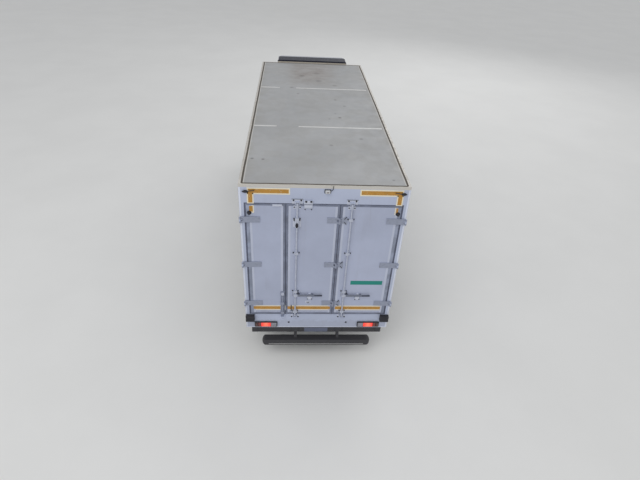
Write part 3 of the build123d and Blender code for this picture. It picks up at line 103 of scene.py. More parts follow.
HINGES = (3.006, 2.158, 1.324)
GUIDES = (3.03, 2.395, 1.6, 1.15)
LEVER_Z = 1.521
RODS = {"rear_door_center": 0.400, "rear_door_right": -0.408}
LATCH_X = 0.612
CAB_FLOOR = 1.04
TUNNEL_TOP = 1.32
DRIVER_X = -0.6


# What a user would change


def colour(name, description, default):
    """A colour setting."""
    return FloatVectorProperty(name=name, description=description, default=default, subtype="COLOR", size=3,
                               min=0, max=1)


def length(name, description, default, low=0.0, high=1.0):
    """A length setting, in metres."""
    return FloatProperty(name=name, description=description, default=default, min=low, max=high,
                         subtype="DISTANCE", unit="LENGTH")


class TruckColours(bpy.types.PropertyGroup):
    """Paints, plastics and metals of the truck."""

    box: colour("Box sides", "Skin of the insulated side walls", srgb(188, 192, 202))
    door: colour("Rear doors", "Skin of the rear door leaves", srgb(176, 183, 205))
    frame: colour("Rear frame", "Paint of the portal round the rear doors", srgb(184, 192, 214))
    roof: colour("Roof", "Weathered skin of the roof", srgb(165, 166, 167))
    roof_edge: colour("Roof edge", "Pale dusty rails beside the roof", srgb(203, 199, 192))
    cab: colour("Cab", "Paint of the cab", srgb(198, 201, 208))
    bumper: colour("Bumper", "Paint of the front bumper and steps", srgb(176, 179, 186))
    unit: colour("Refrigeration unit", "Dark deck on top of the unit", srgb(6, 14, 38))
    dirt: colour("Road dirt", "Dried mud and dust", srgb(112, 101, 88))
    soot: colour("Dark stains", "Old oil and wet dust", srgb(62, 58, 54))
    tape: colour("Marking tape", "Reflective tape on the rear", srgb(178, 128, 42))
    band: colour("Green band", "Plain band on the right rear door", srgb(18, 132, 120))
    aluminium: colour("Aluminium", "Edge rails and floor", srgb(186, 187, 189))
    steel: colour("Zinc plate", "Hinges and keepers", srgb(156, 162, 180))
    rods: colour("Lock rods", "Rods, levers and the latch", srgb(193, 198, 213))
    chassis: colour("Chassis", "Frame and axle paint", srgb(44, 47, 56))
    rubber: colour("Rubber", "Tyres, gaskets and buffers", srgb(37, 37, 43))
    gasket: colour("Door gasket", "Grey lips round the door leaves", srgb(116, 122, 141))
    fabric: colour("Seat cloth", "Woven seat covers", srgb(86, 92, 106))
    plastic: colour("Dashboard plastic", "Moulded parts inside the cab", srgb(62, 63, 66))


class TruckSizes(bpy.types.PropertyGroup):
    """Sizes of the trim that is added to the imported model."""

    rivet_radius: length("Rivet radius", "Rivets of the edge rails", 0.007, 0.002, 0.02)
    rivet_pitch: length("Rivet pitch", "Distance from one rail rivet to the next", 0.15, 0.05, 0.5)
    sealant_width: length("Sealant width", "Dark bead round the roof", 0.028, 0.005, 0.05)
    seam_width: length("Roof seam width", "Cover strips across the roof", 0.05, 0.02, 0.2)
    gasket_width: length("Gasket width", "Lip round each door leaf", 0.032, 0.01, 0.06)
    gasket_side: length("Side gasket width", "Lip beside the frame's posts", 0.045, 0.01, 0.08)
    tape_height: length("Tape height", "Reflective tape", 0.066, 0.02, 0.12)
    tread_depth: length("Tread depth", "Grooves of the tyres", 0.011, 0.002, 0.03)
    tread_blocks: IntProperty(name="Tread blocks", description="Shoulder blocks round one tyre", default=44,
                              min=12, max=90)


class TruckStage(bpy.types.PropertyGroup):
    """Floor, light and camera."""

    floor: colour("Floor", "Plain floor", srgb(232, 232, 230))
    sky: FloatProperty(name="Sky strength", description="Soft light from all round", default=0.68, min=0, max=5)
    key: FloatProperty(name="Key strength", description="Broad light from high behind", default=1.2, min=0, max=20)
    lens: FloatProperty(name="Lens", description="Focal length of the camera", default=26.13, min=1, max=200,
                        subtype="DISTANCE_CAMERA", unit="CAMERA")


# Modelling tools: each starts from a primitive and shapes it with Blender's own operators


def clear():
    """Leaves edit mode and deselects everything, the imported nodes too."""
    if bpy.context.mode != "OBJECT":
        bpy.ops.object.mode_set(mode="OBJECT")
    bpy.ops.object.select_all(action="DESELECT")


def only(obj):
    """Selects one object."""
    clear()
    obj.select_set(True)
    bpy.context.view_layer.objects.active = obj
    return obj


def edit(obj, action="DESELECT"):
    """Opens one object for editing, with nothing or everything selected in it."""
    only(obj)
    bpy.ops.object.mode_set(mode="EDIT")
    bpy.ops.mesh.select_all(action=action)


def pick(obj, test):
    """Selects the faces of the object in edit mode whose middle and normal pass a test."""
    bpy.ops.mesh.select_mode(type="FACE")
    bpy.ops.mesh.select_all(action="DESELECT")
    mesh = bmesh.from_edit_mesh(obj.data)
    for face in mesh.faces:
        middle = sum((v.co for v in face.verts), Vector()) / len(face.verts)
        if test(middle, face.normal):
            face.select_set(True)
    mesh.select_flush_mode()
    bmesh.update_edit_mesh(obj.data)


def settle(obj):
    """Moves the object's place, turn and size into its mesh."""
    only(obj)
    bpy.ops.object.transform_apply(location=True, rotation=True, scale=True)
    return obj


def modify(obj, kind, **settings):
    """Adds one modifier and applies it."""
    only(obj)
    modifier = obj.modifiers.new(kind.title(), kind)
    for key, value in settings.items():
        setattr(modifier, key, value)
    bpy.ops.object.modifier_apply(modifier=modifier.name)
    return obj


def round_edges(obj, width, segments=2, angle=40):
    """Bevels the object's sharp edges."""
    return modify(obj, "BEVEL", width=width, segments=segments, limit_method="ANGLE", angle_limit=radians(angle))


def bar(low, high, soft=0.003, segments=2):
    """A bar between two corners, with soft edges."""
    clear()
    size = [abs(b - a) for a, b in zip(low, high)]
    bpy.ops.mesh.primitive_cube_add(size=1, location=[(a + b) / 2 for a, b in zip(low, high)])
    obj = bpy.context.object
    obj.scale = size
    settle(obj)
    return round_edges(obj, min(soft, min(size) * 0.45), segments)


# how a drum lies along an axis, and how a dome turns to swell along a way
TURNS = {"x": (0, pi / 2, 0), "y": (pi / 2, 0, 0), "z": (0, 0, 0)}
FACING = {"x": (0, pi / 2, 0), "-x": (0, -pi / 2, 0), "y": (-pi / 2, 0, 0), "-y": (pi / 2, 0, 0), "z": (0, 0, 0)}
WAYS = {"x": Vector((1, 0, 0)), "-x": Vector((-1, 0, 0)), "y": Vector((0, 1, 0)), "-y": Vector((0, -1, 0))}


def drum(centre, radius, depth, axis="x", sides=24, soft=0.0, narrow=1.0):
    """A round part about one axis. narrow is its far end's radius against its near end's."""
    clear()
    bpy.ops.mesh.primitive_cone_add(vertices=sides, radius1=radius, radius2=radius * narrow, depth=depth,
                                    location=centre, rotation=TURNS[axis])
    obj = settle(bpy.context.object)
    return round_edges(obj, soft, 2, 50) if soft else obj


def prism(points, axis, start, end, soft=0.0):
    """A flat outline, given in the two other axes, drawn out along one axis."""
    clear()
    bpy.ops.mesh.primitive_circle_add(vertices=len(points), fill_type="NGON")
    obj = bpy.context.object
    others = [a for a in "xyz" if a != axis]
    for vertex, point in zip(obj.data.vertices, points):
        spot = dict(zip(others, point))
        spot[axis] = start
        vertex.co = [spot[a] for a in "xyz"]
    edit(obj, "SELECT")
    way = Vector([end - start if a == axis else 0 for a in "xyz"])
    bpy.ops.mesh.extrude_region_move(TRANSFORM_OT_translate={"value": way})
    bpy.ops.mesh.select_all(action="SELECT")
    bpy.ops.mesh.normals_make_consistent(inside=False)
    clear()
    return round_edges(obj, soft) if soft else obj


def tube(points, radius, smooth=True, sides=2):
    """A pipe or hose along a few points."""
    clear()
    bpy.ops.curve.primitive_nurbs_path_add()
    obj = bpy.context.object
    line = obj.data
    line.splines.clear()
    spline = line.splines.new("NURBS" if smooth else "POLY")
    spline.points.add(len(points) - 1)
    for point, place in zip(spline.points, points):
        point.co = (*place, 1)
    if smooth:
        spline.order_u = 3
        spline.use_endpoint_u = True
        spline.resolution_u = 6
    line.dimensions = "3D"
    line.bevel_depth = radius
    line.bevel_resolution = sides
    line.use_fill_caps = True
    only(obj)
    bpy.ops.object.convert(target="MESH")
    return bpy.context.object


def dome(centre, radius, way="z", flat=0.5, sides=8):
    """A rivet or bolt head that stands on a surface and swells along way, such as z or -y."""
    clear()
    bpy.ops.mesh.primitive_uv_sphere_add(segments=sides, ring_count=6, radius=radius)
    obj = bpy.context.object
    edit(obj, "SELECT")
    bpy.ops.mesh.bisect(plane_co=(0, 0, 0), plane_no=(0, 0, 1), use_fill=True, clear_inner=True)
    clear()
    obj.scale = (1, 1, flat)
    obj.rotation_euler = FACING[way]
    obj.location = centre
    return settle(obj)


def bolt(centre, radius, height, way="y"):
    """A six-sided bolt head on its washer."""
    centre, rise = Vector(centre), WAYS[way] * height
    washer = drum(centre + rise * 0.12, radius * 1.35, height * 0.24, way[-1], 14)
    head = drum(centre + rise * 0.6, radius, height * 0.8, way[-1], 6, radius * 0.12)
    return joined([washer, head])


def joined(parts):
    """Several objects as one. A single object is given back as it is."""
    if not isinstance(parts, list):
        return parts
    only(parts[0])
    for part in parts[1:]:
        part.select_set(True)
    if len(parts) > 1:
        bpy.ops.object.join()
    return parts[0]


def copied(obj, shift=(0, 0, 0)):
    """A copy with its own mesh, moved by shift."""
    only(obj)
    bpy.ops.object.duplicate_move(TRANSFORM_OT_translate={"value": shift})
    return settle(bpy.context.object)


def at_places(obj, places):
    """Copies of a part modelled at the origin, one at each place, joined. The first is the part itself."""
    parts = [copied(obj, place) for place in places[1:]]
    obj.location = places[0]
    return joined([settle(obj)] + parts)


def bolts(places, radius, height, way="y"):
    """Bolt heads at several places."""
    return at_places(bolt((0, 0, 0), radius, height, way), places)


def domes(places, radius, way="y", flat=0.5, sides=8):
    """Rivets or screw heads at several places."""
    return at_places(dome((0, 0, 0), radius, way, flat, sides), places)


def copy_of(node):
    """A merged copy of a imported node's mesh, to be shaped further."""
    obj = bpy.data.objects.new(node + "_copy", frame["nodes"][node].data.copy())
    bpy.context.collection.objects.link(obj)
    obj.data.materials.clear()
    edit(obj, "SELECT")
    bpy.ops.mesh.remove_doubles(threshold=0.00005)
    clear()
    return obj


def surface(node, start, way):
    """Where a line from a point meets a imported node."""
    mesh = frame["nodes"][node].data
    tree = BVHTree.FromPolygons([vertex.co for vertex in mesh.vertices],
                                [tuple(face.vertices) for face in mesh.polygons])
    place = tree.ray_cast(Vector(start), Vector(way))[0]
    if place is None:
        raise RuntimeError(f"no surface of {node} along {way} from {start}")
    return place


def edging(node, way, radius):
    """A round bead along the outer rim of a pane that looks along way."""
    way = Vector(way)
    obj = copy_of(node)
    edit(obj)
    bpy.ops.mesh.select_mode(type="EDGE")
    mesh = bmesh.from_edit_mesh(obj.data)
    for rim in mesh.edges:
        if len(rim.link_faces) == 2:
            one, other = (face.normal for face in rim.link_faces)
            rim.select_set(max(one.dot(way), other.dot(way)) > 0.5 and one.dot(other) < 0.6)
    bmesh.update_edit_mesh(obj.data)
    bpy.ops.mesh.duplicate()
    bpy.ops.mesh.select_all(action="INVERT")
    bpy.ops.mesh.delete(type="VERT")
    only(obj)
    bpy.ops.object.convert(target="CURVE")
    obj = bpy.context.object
    obj.data.bevel_depth = radius
    obj.data.bevel_resolution = 1
    only(obj)
    bpy.ops.object.convert(target="MESH")
    return bpy.context.object


def in_row(obj, step, count):
    """The part repeated along a line."""
    return modify(obj, "ARRAY", use_relative_offset=False, use_constant_offset=True, constant_offset_displace=step,
                  count=count)


def opposite(obj):
    """A mirror image on the truck's other side, facing outwards."""
    twin = copied(obj)
    twin.scale = (-1, 1, 1)
    settle(twin)
    edit(twin, "SELECT")
    bpy.ops.mesh.remove_doubles(threshold=0.00001)
    bpy.ops.mesh.normals_make_consistent(inside=False)
    clear()
    return twin


def both(parts):
    """The parts and their mirror image, as one."""
    obj = joined(parts)
    return joined([obj, opposite(obj)])


def each_side(make):
    """What a function makes for the left side and for the right."""
    return [make(side) for side in (LEFT, RIGHT)]


def turned(obj, axis, degrees, about=(0, 0, 0)):
    """Turns a part about a point."""
    spin = Matrix.Translation(about) @ Matrix.Rotation(radians(degrees), 4, axis.upper())
    obj.matrix_world = spin @ Matrix.Translation(-Vector(about)) @ obj.matrix_world
    return settle(obj)


def hollowed(obj, way, rim, depth):
    """Insets the faces that look straight along way, and sinks them."""
    way = Vector(way)
    edit(obj)
    pick(obj, lambda middle, normal: normal.dot(way) > 0.995)
    bpy.ops.mesh.inset(thickness=rim, depth=0)
    bpy.ops.mesh.extrude_region_move(TRANSFORM_OT_translate={"value": way * -depth})
    clear()
    return obj


def finished(parts, name, look, body="chassis", angle=35):
    """Joins and names a piece, gives it its finish and lets it ride on a body."""
    obj = settle(joined(parts))
    bpy.ops.object.shade_smooth_by_angle(angle=radians(angle))
    obj.name = name
    obj.data.name = name
    if look is not None:
        obj.data.materials.clear()
        obj.data.materials.append(FINISHES[look])
    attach(obj, body)
    return obj


# Places and flat pieces on the rear face


def spots(columns, out, rows):
    """Every place on the rear face where a column meets a row, as far out from the face as out."""
    return [(x, DOOR_FACE + out, z) for x in columns for z in rows]


def slab(low, high, out, soft=0.0015, segments=2, start=0.0):
    """A flat piece on the rear face between two (x, z) corners, from start to out."""
    return bar((low[0], DOOR_FACE + start, low[1]), (high[0], DOOR_FACE + out, high[1]), soft, segments)


def hose(points, radius):
    """A bent rod on the rear face through (x, out, z) places."""
    return tube([(x, DOOR_FACE + out, z) for x, out, z in points], radius)


# Finishes

FINISHES = {}


class Recipe:
    """The nodes of one finish. tone is its base colour as mixed so far."""

    def __init__(self, name, roughness, metallic=0.0, coat=0.0, sheen=0.0, transmission=0.0, ior=1.5):
        self.material = FINISHES[name] = bpy.data.materials.new(name)
        self.material.use_nodes = True
        self.tree = self.material.node_tree
        self.shader = self.tree.nodes["Principled BSDF"]
        for key, value in (("Roughness", roughness), ("Metallic", metallic), ("Coat Weight", coat),
                           ("Sheen Weight", sheen), ("Transmission Weight", transmission), ("IOR", ior)):
            self.shader.inputs[key].default_value = value
        self.place = self.node("ShaderNodeTexCoord", {}).outputs["Object"]
        self.tone = None

    def node(self, kind, inputs, **settings):
        """Adds a node, its settings and what goes into it."""
        node = self.tree.nodes.new(kind)
        for key, value in settings.items():
            setattr(node, key, value)
        for key, value in inputs.items():
            if isinstance(value, bpy.types.NodeSocket):
                self.tree.links.new(value, node.inputs[key])
            else:
                node.inputs[key].default_value = value
        return node

    def noise(self, scale, detail=4.0, stretch=(1, 1, 1), roughness=0.55):
        """Cloudy values between 0 and 1 that follow the object."""
        where = self.node("ShaderNodeMapping", {"Vector": self.place, "Scale": stretch}).outputs[0]
        return self.node("ShaderNodeTexNoise", {"Vector": where, "Scale": scale, "Detail": detail,
                                                "Roughness": roughness}).outputs["Fac"]

    def cells(self, scale):
        """Distance to the borders of scattered cells."""
        where = self.node("ShaderNodeMapping", {"Vector": self.place}).outputs[0]
        return self.node("ShaderNodeTexVoronoi", {"Vector": where, "Scale": scale},
                         feature="DISTANCE_TO_EDGE").outputs[0]

    def ribs(self, scale, axis="X"):
        """Even ribs across one axis."""
        return self.node("ShaderNodeTexWave", {"Vector": self.place, "Scale": scale, "Distortion": 0.0},
                         bands_direction=axis, wave_profile="SIN").outputs["Fac"]

    def between(self, value, low, high, bottom=0.0, top=1.0):
        """A soft step from bottom to top as the value goes from low to high."""
        return self.node("ShaderNodeMapRange", {"Value": value, "From Min": low, "From Max": high,
                                                "To Min": bottom, "To Max": top},
                         interpolation_type="SMOOTHSTEP").outputs[0]

    def worked(self, kind, *values, clamp=False):
        """Values worked together by one Math node."""
        return self.node("ShaderNodeMath", dict(enumerate(values)), operation=kind, use_clamp=clamp).outputs[0]

    def times(self, a, b):
        """Two masks where both show."""
        return self.worked("MULTIPLY", a, b, clamp=True)

    def plus(self, a, b):
        """Two masks where either shows."""
        return self.worked("ADD", a, b, clamp=True)

    def part(self, axis):
        """Place along one axis of the truck."""
        return self.node("ShaderNodeSeparateXYZ", {"Vector": self.place}).outputs["xyz".index(axis)]

    def along(self, axis, low, high, bottom=0.0, top=1.0):
        """A soft step along one axis."""
        return self.between(self.part(axis), low, high, bottom, top)

    def near(self, axis, middle, half):
        """A mask within a distance of one place along an axis."""
        off = self.worked("ABSOLUTE", self.worked("SUBTRACT", self.part(axis), middle))
        return self.between(off, half, half + 0.003, 1.0, 0.0)

    def blot(self, x, y, radius, strength):
        """A soft round spot on a level surface."""
        flat = self.node("ShaderNodeVectorMath", {0: self.place, 1: (1, 1, 0)}, operation="MULTIPLY").outputs[0]
        off = self.node("ShaderNodeVectorMath", {0: flat, 1: (x, y, 0)}, operation="DISTANCE").outputs["Value"]
        return self.between(off, radius * 0.3, radius, strength, 0.0)

    def mixed(self, mask, a, b):
        """Colour a where the mask is 0, and b where it is 1."""
        a, b = [c if isinstance(c, bpy.types.NodeSocket) else (*c, 1) for c in (a, b)]
        return self.node("ShaderNodeMix", {0: mask, 6: a, 7: b}, data_type="RGBA").outputs[2]

    def clouded(self, base, value, dark, pale, low=0.3, high=0.7):
        """Starts the tone: the base colour, darker and paler as a value wanders."""
        self.tone = self.mixed(self.between(value, low, high), shade(base, dark), shade(base, pale))

    def over(self, mask, tint):
        """Lays a colour over the tone where the mask shows."""
        self.tone = self.mixed(mask, self.tone, tint)

    def stain(self, scale, detail, low, high, strength, tint):
        """Lays scattered spots of a colour over the tone."""
        self.over(self.times(self.between(self.noise(scale, detail), low, high), strength), tint)

    def paint(self, *layers, gloss=None):
        """Gives the shader the tone, a roughness that wanders with gloss, and (height, metres) bumps."""
        self.tree.links.new(self.tone, self.shader.inputs["Base Color"])
        if gloss:
            mask, low, high = gloss
            self.tree.links.new(self.between(mask, 0.3, 0.7, low, high), self.shader.inputs["Roughness"])
        normal = None
        for height, distance in layers:
            inputs = {"Height": height, "Distance": distance, "Strength": 1.0}
            if normal:
                inputs["Normal"] = normal
            normal = self.node("ShaderNodeBump", inputs).outputs[0]
        if normal:
            self.tree.links.new(normal, self.shader.inputs["Normal"])


def shade(base, factor):
    """A colour made lighter or darker."""
    return tuple(min(1.0, c * factor) for c in base)


def painted(name, base, roughness=0.42, coat=0.0, streaks=0.3, splash=None, mud=0.75, speckle=0.25, dents=0.0015,
            patch=None):
    """Sprayed or gelcoat skin: faint clouds, run-down streaks, road splash up to a height, small chips.

    splash is its foot and its reach. patch is a function of the recipe that says where a second colour shows,
    and that colour.
    """
    hues = bpy.context.scene.truck_colours
    recipe = Recipe(name, roughness, coat=coat)
    fine = recipe.noise(26, 6)
    recipe.clouded(base, recipe.noise(1.3, 5), 0.93, 1.05)
    if patch:
        where, second = patch
        recipe.over(where(recipe), second)
    runs = recipe.times(recipe.between(recipe.noise(7, 5, (1, 1, 0.06)), 0.52, 0.78),
                        recipe.between(recipe.noise(2.2, 4), 0.35, 0.7))
    recipe.over(recipe.times(runs, streaks), shade(hues.dirt, 1.1))
    recipe.stain(95, 3, 0.7, 0.76, speckle, hues.soot)
    if splash:
        foot, reach = splash
        climb = recipe.along("z", foot, foot + reach, 1.0, 0.0)
        ragged = recipe.between(recipe.plus(climb, fine), 0.75, 1.35)
        recipe.over(recipe.times(ragged, mud), hues.dirt)
    recipe.paint((recipe.noise(0.9, 2), dents * 4), (recipe.noise(700, 2), 0.00012),
                 gloss=(fine, roughness - 0.06, roughness + 0.12))


def metal(name, base, roughness=0.4, metallic=0.85, grain=(1, 1, 1), tarnish=0.35, grime=0.25, top=None):
    """Bare or plated metal: drawn grain, dull spots and grime, and a paler dusty top where one is given."""
    hues = bpy.context.scene.truck_colours
    recipe = Recipe(name, roughness, metallic)
    lines = recipe.noise(160, 4, grain)
    dull_spots = recipe.noise(18, 6)
    recipe.clouded(base, lines, 0.88, 1.08)
    if top:
        recipe.over(recipe.along("z", ROOF_TOP - 0.006, ROOF_TOP - 0.002), top)
    recipe.over(recipe.times(recipe.between(dull_spots, 0.48, 0.75), tarnish), shade(base, 0.5))
    recipe.stain(5, 6, 0.52, 0.72, grime, hues.dirt)
    recipe.paint((lines, 0.00015), (dull_spots, 0.0004), gloss=(dull_spots, roughness - 0.1, roughness + 0.2))


def door_ironwork(name, base, bright):
    """Plated hinges, with the paler rods and latch and the darker levers told apart by where they are."""
    recipe = Recipe(name, 0.42, 0.35)
    dull_spots = recipe.noise(22, 6)
    rods = recipe.plus(*(recipe.near("x", x, 0.036) for x in RODS.values()))
    latch_top = recipe.times(recipe.near("x", LATCH_X, 0.027), recipe.along("z", 1.50, 1.505))
    recipe.tone = recipe.mixed(recipe.near("z", LEVER_Z, 0.032), base, shade(base, 0.6))
    recipe.over(recipe.plus(rods, latch_top), bright)
    recipe.over(recipe.times(recipe.between(dull_spots, 0.45, 0.75), 0.3), shade(base, 0.62))
    rust = recipe.between(recipe.noise(9, 6, (1, 1, 0.35)), 0.66, 0.74)
    recipe.over(recipe.times(rust, 0.35), srgb(112, 88, 70))
    recipe.paint((dull_spots, 0.0004), gloss=(dull_spots, 0.34, 0.6))


def dull(name, base, roughness=0.75, dust=0.35, grain=320.0, depth=0.0004):
    """Rubber or moulded plastic with a fine grain and dust in it."""
    recipe = Recipe(name, roughness)
    clouds = recipe.noise(6, 6)
    recipe.clouded(base, clouds, 0.85, 1.25, 0.35)
    recipe.stain(14, 7, 0.45, 0.75, dust, bpy.context.scene.truck_colours.dirt)
    recipe.paint((recipe.noise(grain, 3), depth), gloss=(clouds, roughness - 0.1, roughness + 0.1))


def lens(name, base, glow=0.0, ribs=55.0, clear_share=0.0):
    """Moulded lamp lens with prisms behind its face, which glows where its lamp is lit."""
    recipe = Recipe(name, 0.12, coat=0.6, transmission=clear_share, ior=1.49)
    prisms = recipe.ribs(ribs)
    recipe.clouded(base, prisms, 0.75, 1.15, 0.2, 0.8)
    recipe.stain(30, 5, 0.5, 0.8, 0.2, shade(base, 0.4))
    recipe.paint((prisms, 0.0012), (recipe.ribs(ribs, "Z"), 0.0008))
    if glow:
        middle = each_side(lambda side: recipe.times(recipe.along("x", side * 0.83, side * 0.90),
                                                     recipe.along("x", side * 0.97, side * 0.90)))
        hot = recipe.mixed(recipe.plus(*middle), base, srgb(255, 142, 104))
        recipe.tree.links.new(hot, recipe.shader.inputs["Emission Color"])
        recipe.shader.inputs["Specular IOR Level"].default_value = 0.3
        recipe.shader.inputs["Emission Strength"].default_value = glow


def woven(name, base, contrast):
    """Seat cloth: fine crossed threads with flecks."""
    recipe = Recipe(name, 0.9, sheen=0.35)
    threads = recipe.times(recipe.ribs(260), recipe.ribs(260, "DIAGONAL"))
    recipe.tone = recipe.mixed(threads, shade(base, 0.6), shade(base, 1.4))
    recipe.stain(140, 2, 0.6, 0.7, 0.6, contrast)
    recipe.stain(7, 4, 0.5, 0.8, 0.25, shade(base, 1.9))
    recipe.paint((threads, 0.0006), (recipe.noise(12, 3), 0.002))


def clear_glass(name):
    """Tinted safety glass with a little road film."""
    recipe = Recipe(name, 0.03, transmission=1.0, ior=1.45)
    film = recipe.between(recipe.noise(9, 6), 0.5, 0.85)
    recipe.tone = recipe.mixed(recipe.times(film, 0.3), srgb(196, 214, 208), srgb(168, 172, 168))
    recipe.paint(gloss=(film, 0.02, 0.14))


def reflective_tape(name, base):
    """Orange marking tape: small sealed cells, worn paler along streaks."""
    recipe = Recipe(name, 0.34, coat=0.3)
    cells = recipe.cells(330)
    recipe.tone = recipe.mixed(recipe.between(cells, 0.03, 0.12), shade(base, 1.35), base)
    recipe.stain(11, 6, 0.45, 0.75, 0.35, shade(base, 0.62))
    recipe.stain(40, 4, 0.62, 0.72, 0.5, srgb(196, 190, 178))
    recipe.paint((cells, 0.0002))


# dark spots painted on the roof: where, how wide and how dark
ROOF_MARKS = (
    (0.372, 0.251, 0.04, 0.4), (-0.396, 0.573, 0.04, 0.4), (-0.555, 0.934, 0.045, 0.35), (-0.339, 1.367, 0.03, 0.3),
    (-0.211, 1.646, 0.035, 0.35), (-0.412, 1.571, 0.045, 0.55), (-0.166, 2.84, 0.05, 0.3), (-0.703, 2.544, 0.05, 0.3),
    (0.934, 3.422, 0.035, 0.5), (1.103, 3.403, 0.04, 0.5), (-1.014, 4.025, 0.03, 0.4), (0.507, -0.158, 0.06, 0.35),
    (0.27, -1.037, 0.09, 0.35), (-0.075, -1.265, 0.12, 0.2), (-0.105, -0.683, 0.1, 0.3), (-0.452, -0.385, 0.08, 0.3))


def weathered_roof(name, base):
    """Roof skin: washed-out grey with dried puddles, dust at its edges and dark smears towards the front."""
    recipe = Recipe(name, 0.6)
    recipe.clouded(base, recipe.noise(0.8, 5), 0.93, 1.06)
    recipe.stain(2.6, 3, 0.49, 0.53, 0.10, srgb(146, 140, 128))
    forward = recipe.times(recipe.along("y", BOX_FRONT + 2.2, BOX_FRONT + 1.0),
                           recipe.along("y", BOX_FRONT + 0.03, BOX_FRONT + 0.25))
    sideways = recipe.times(recipe.along("x", -0.7, -0.1), recipe.along("x", 0.75, 0.3))
    ragged = recipe.between(recipe.noise(2.6, 8, (1, 1.7, 1), 0.7), 0.38, 0.62)
    film = recipe.times(forward, sideways)
    recipe.over(recipe.times(film, 0.45), srgb(152, 144, 138))
    recipe.over(recipe.times(recipe.times(film, ragged), 0.34), srgb(122, 112, 106))
    edges = recipe.plus(*each_side(lambda side: recipe.along("x", side * 1.02, side * 1.19)))
    recipe.over(recipe.times(recipe.times(edges, recipe.between(recipe.noise(5, 6), 0.35, 0.65)), 0.3),
                srgb(150, 144, 132))
    for middle in (-1.172, 1.172):
        recipe.over(recipe.times(recipe.near("x", middle, 0.006), 0.6), srgb(204, 202, 196))
    marks = 0.0
    for mark in ROOF_MARKS:
        marks = recipe.plus(marks, recipe.blot(*mark))
    recipe.over(marks, bpy.context.scene.truck_colours.soot)
    recipe.paint((recipe.noise(1.1, 2), 0.008), (recipe.noise(240, 3), 0.0003), gloss=(recipe.noise(5, 5), 0.48, 0.72))


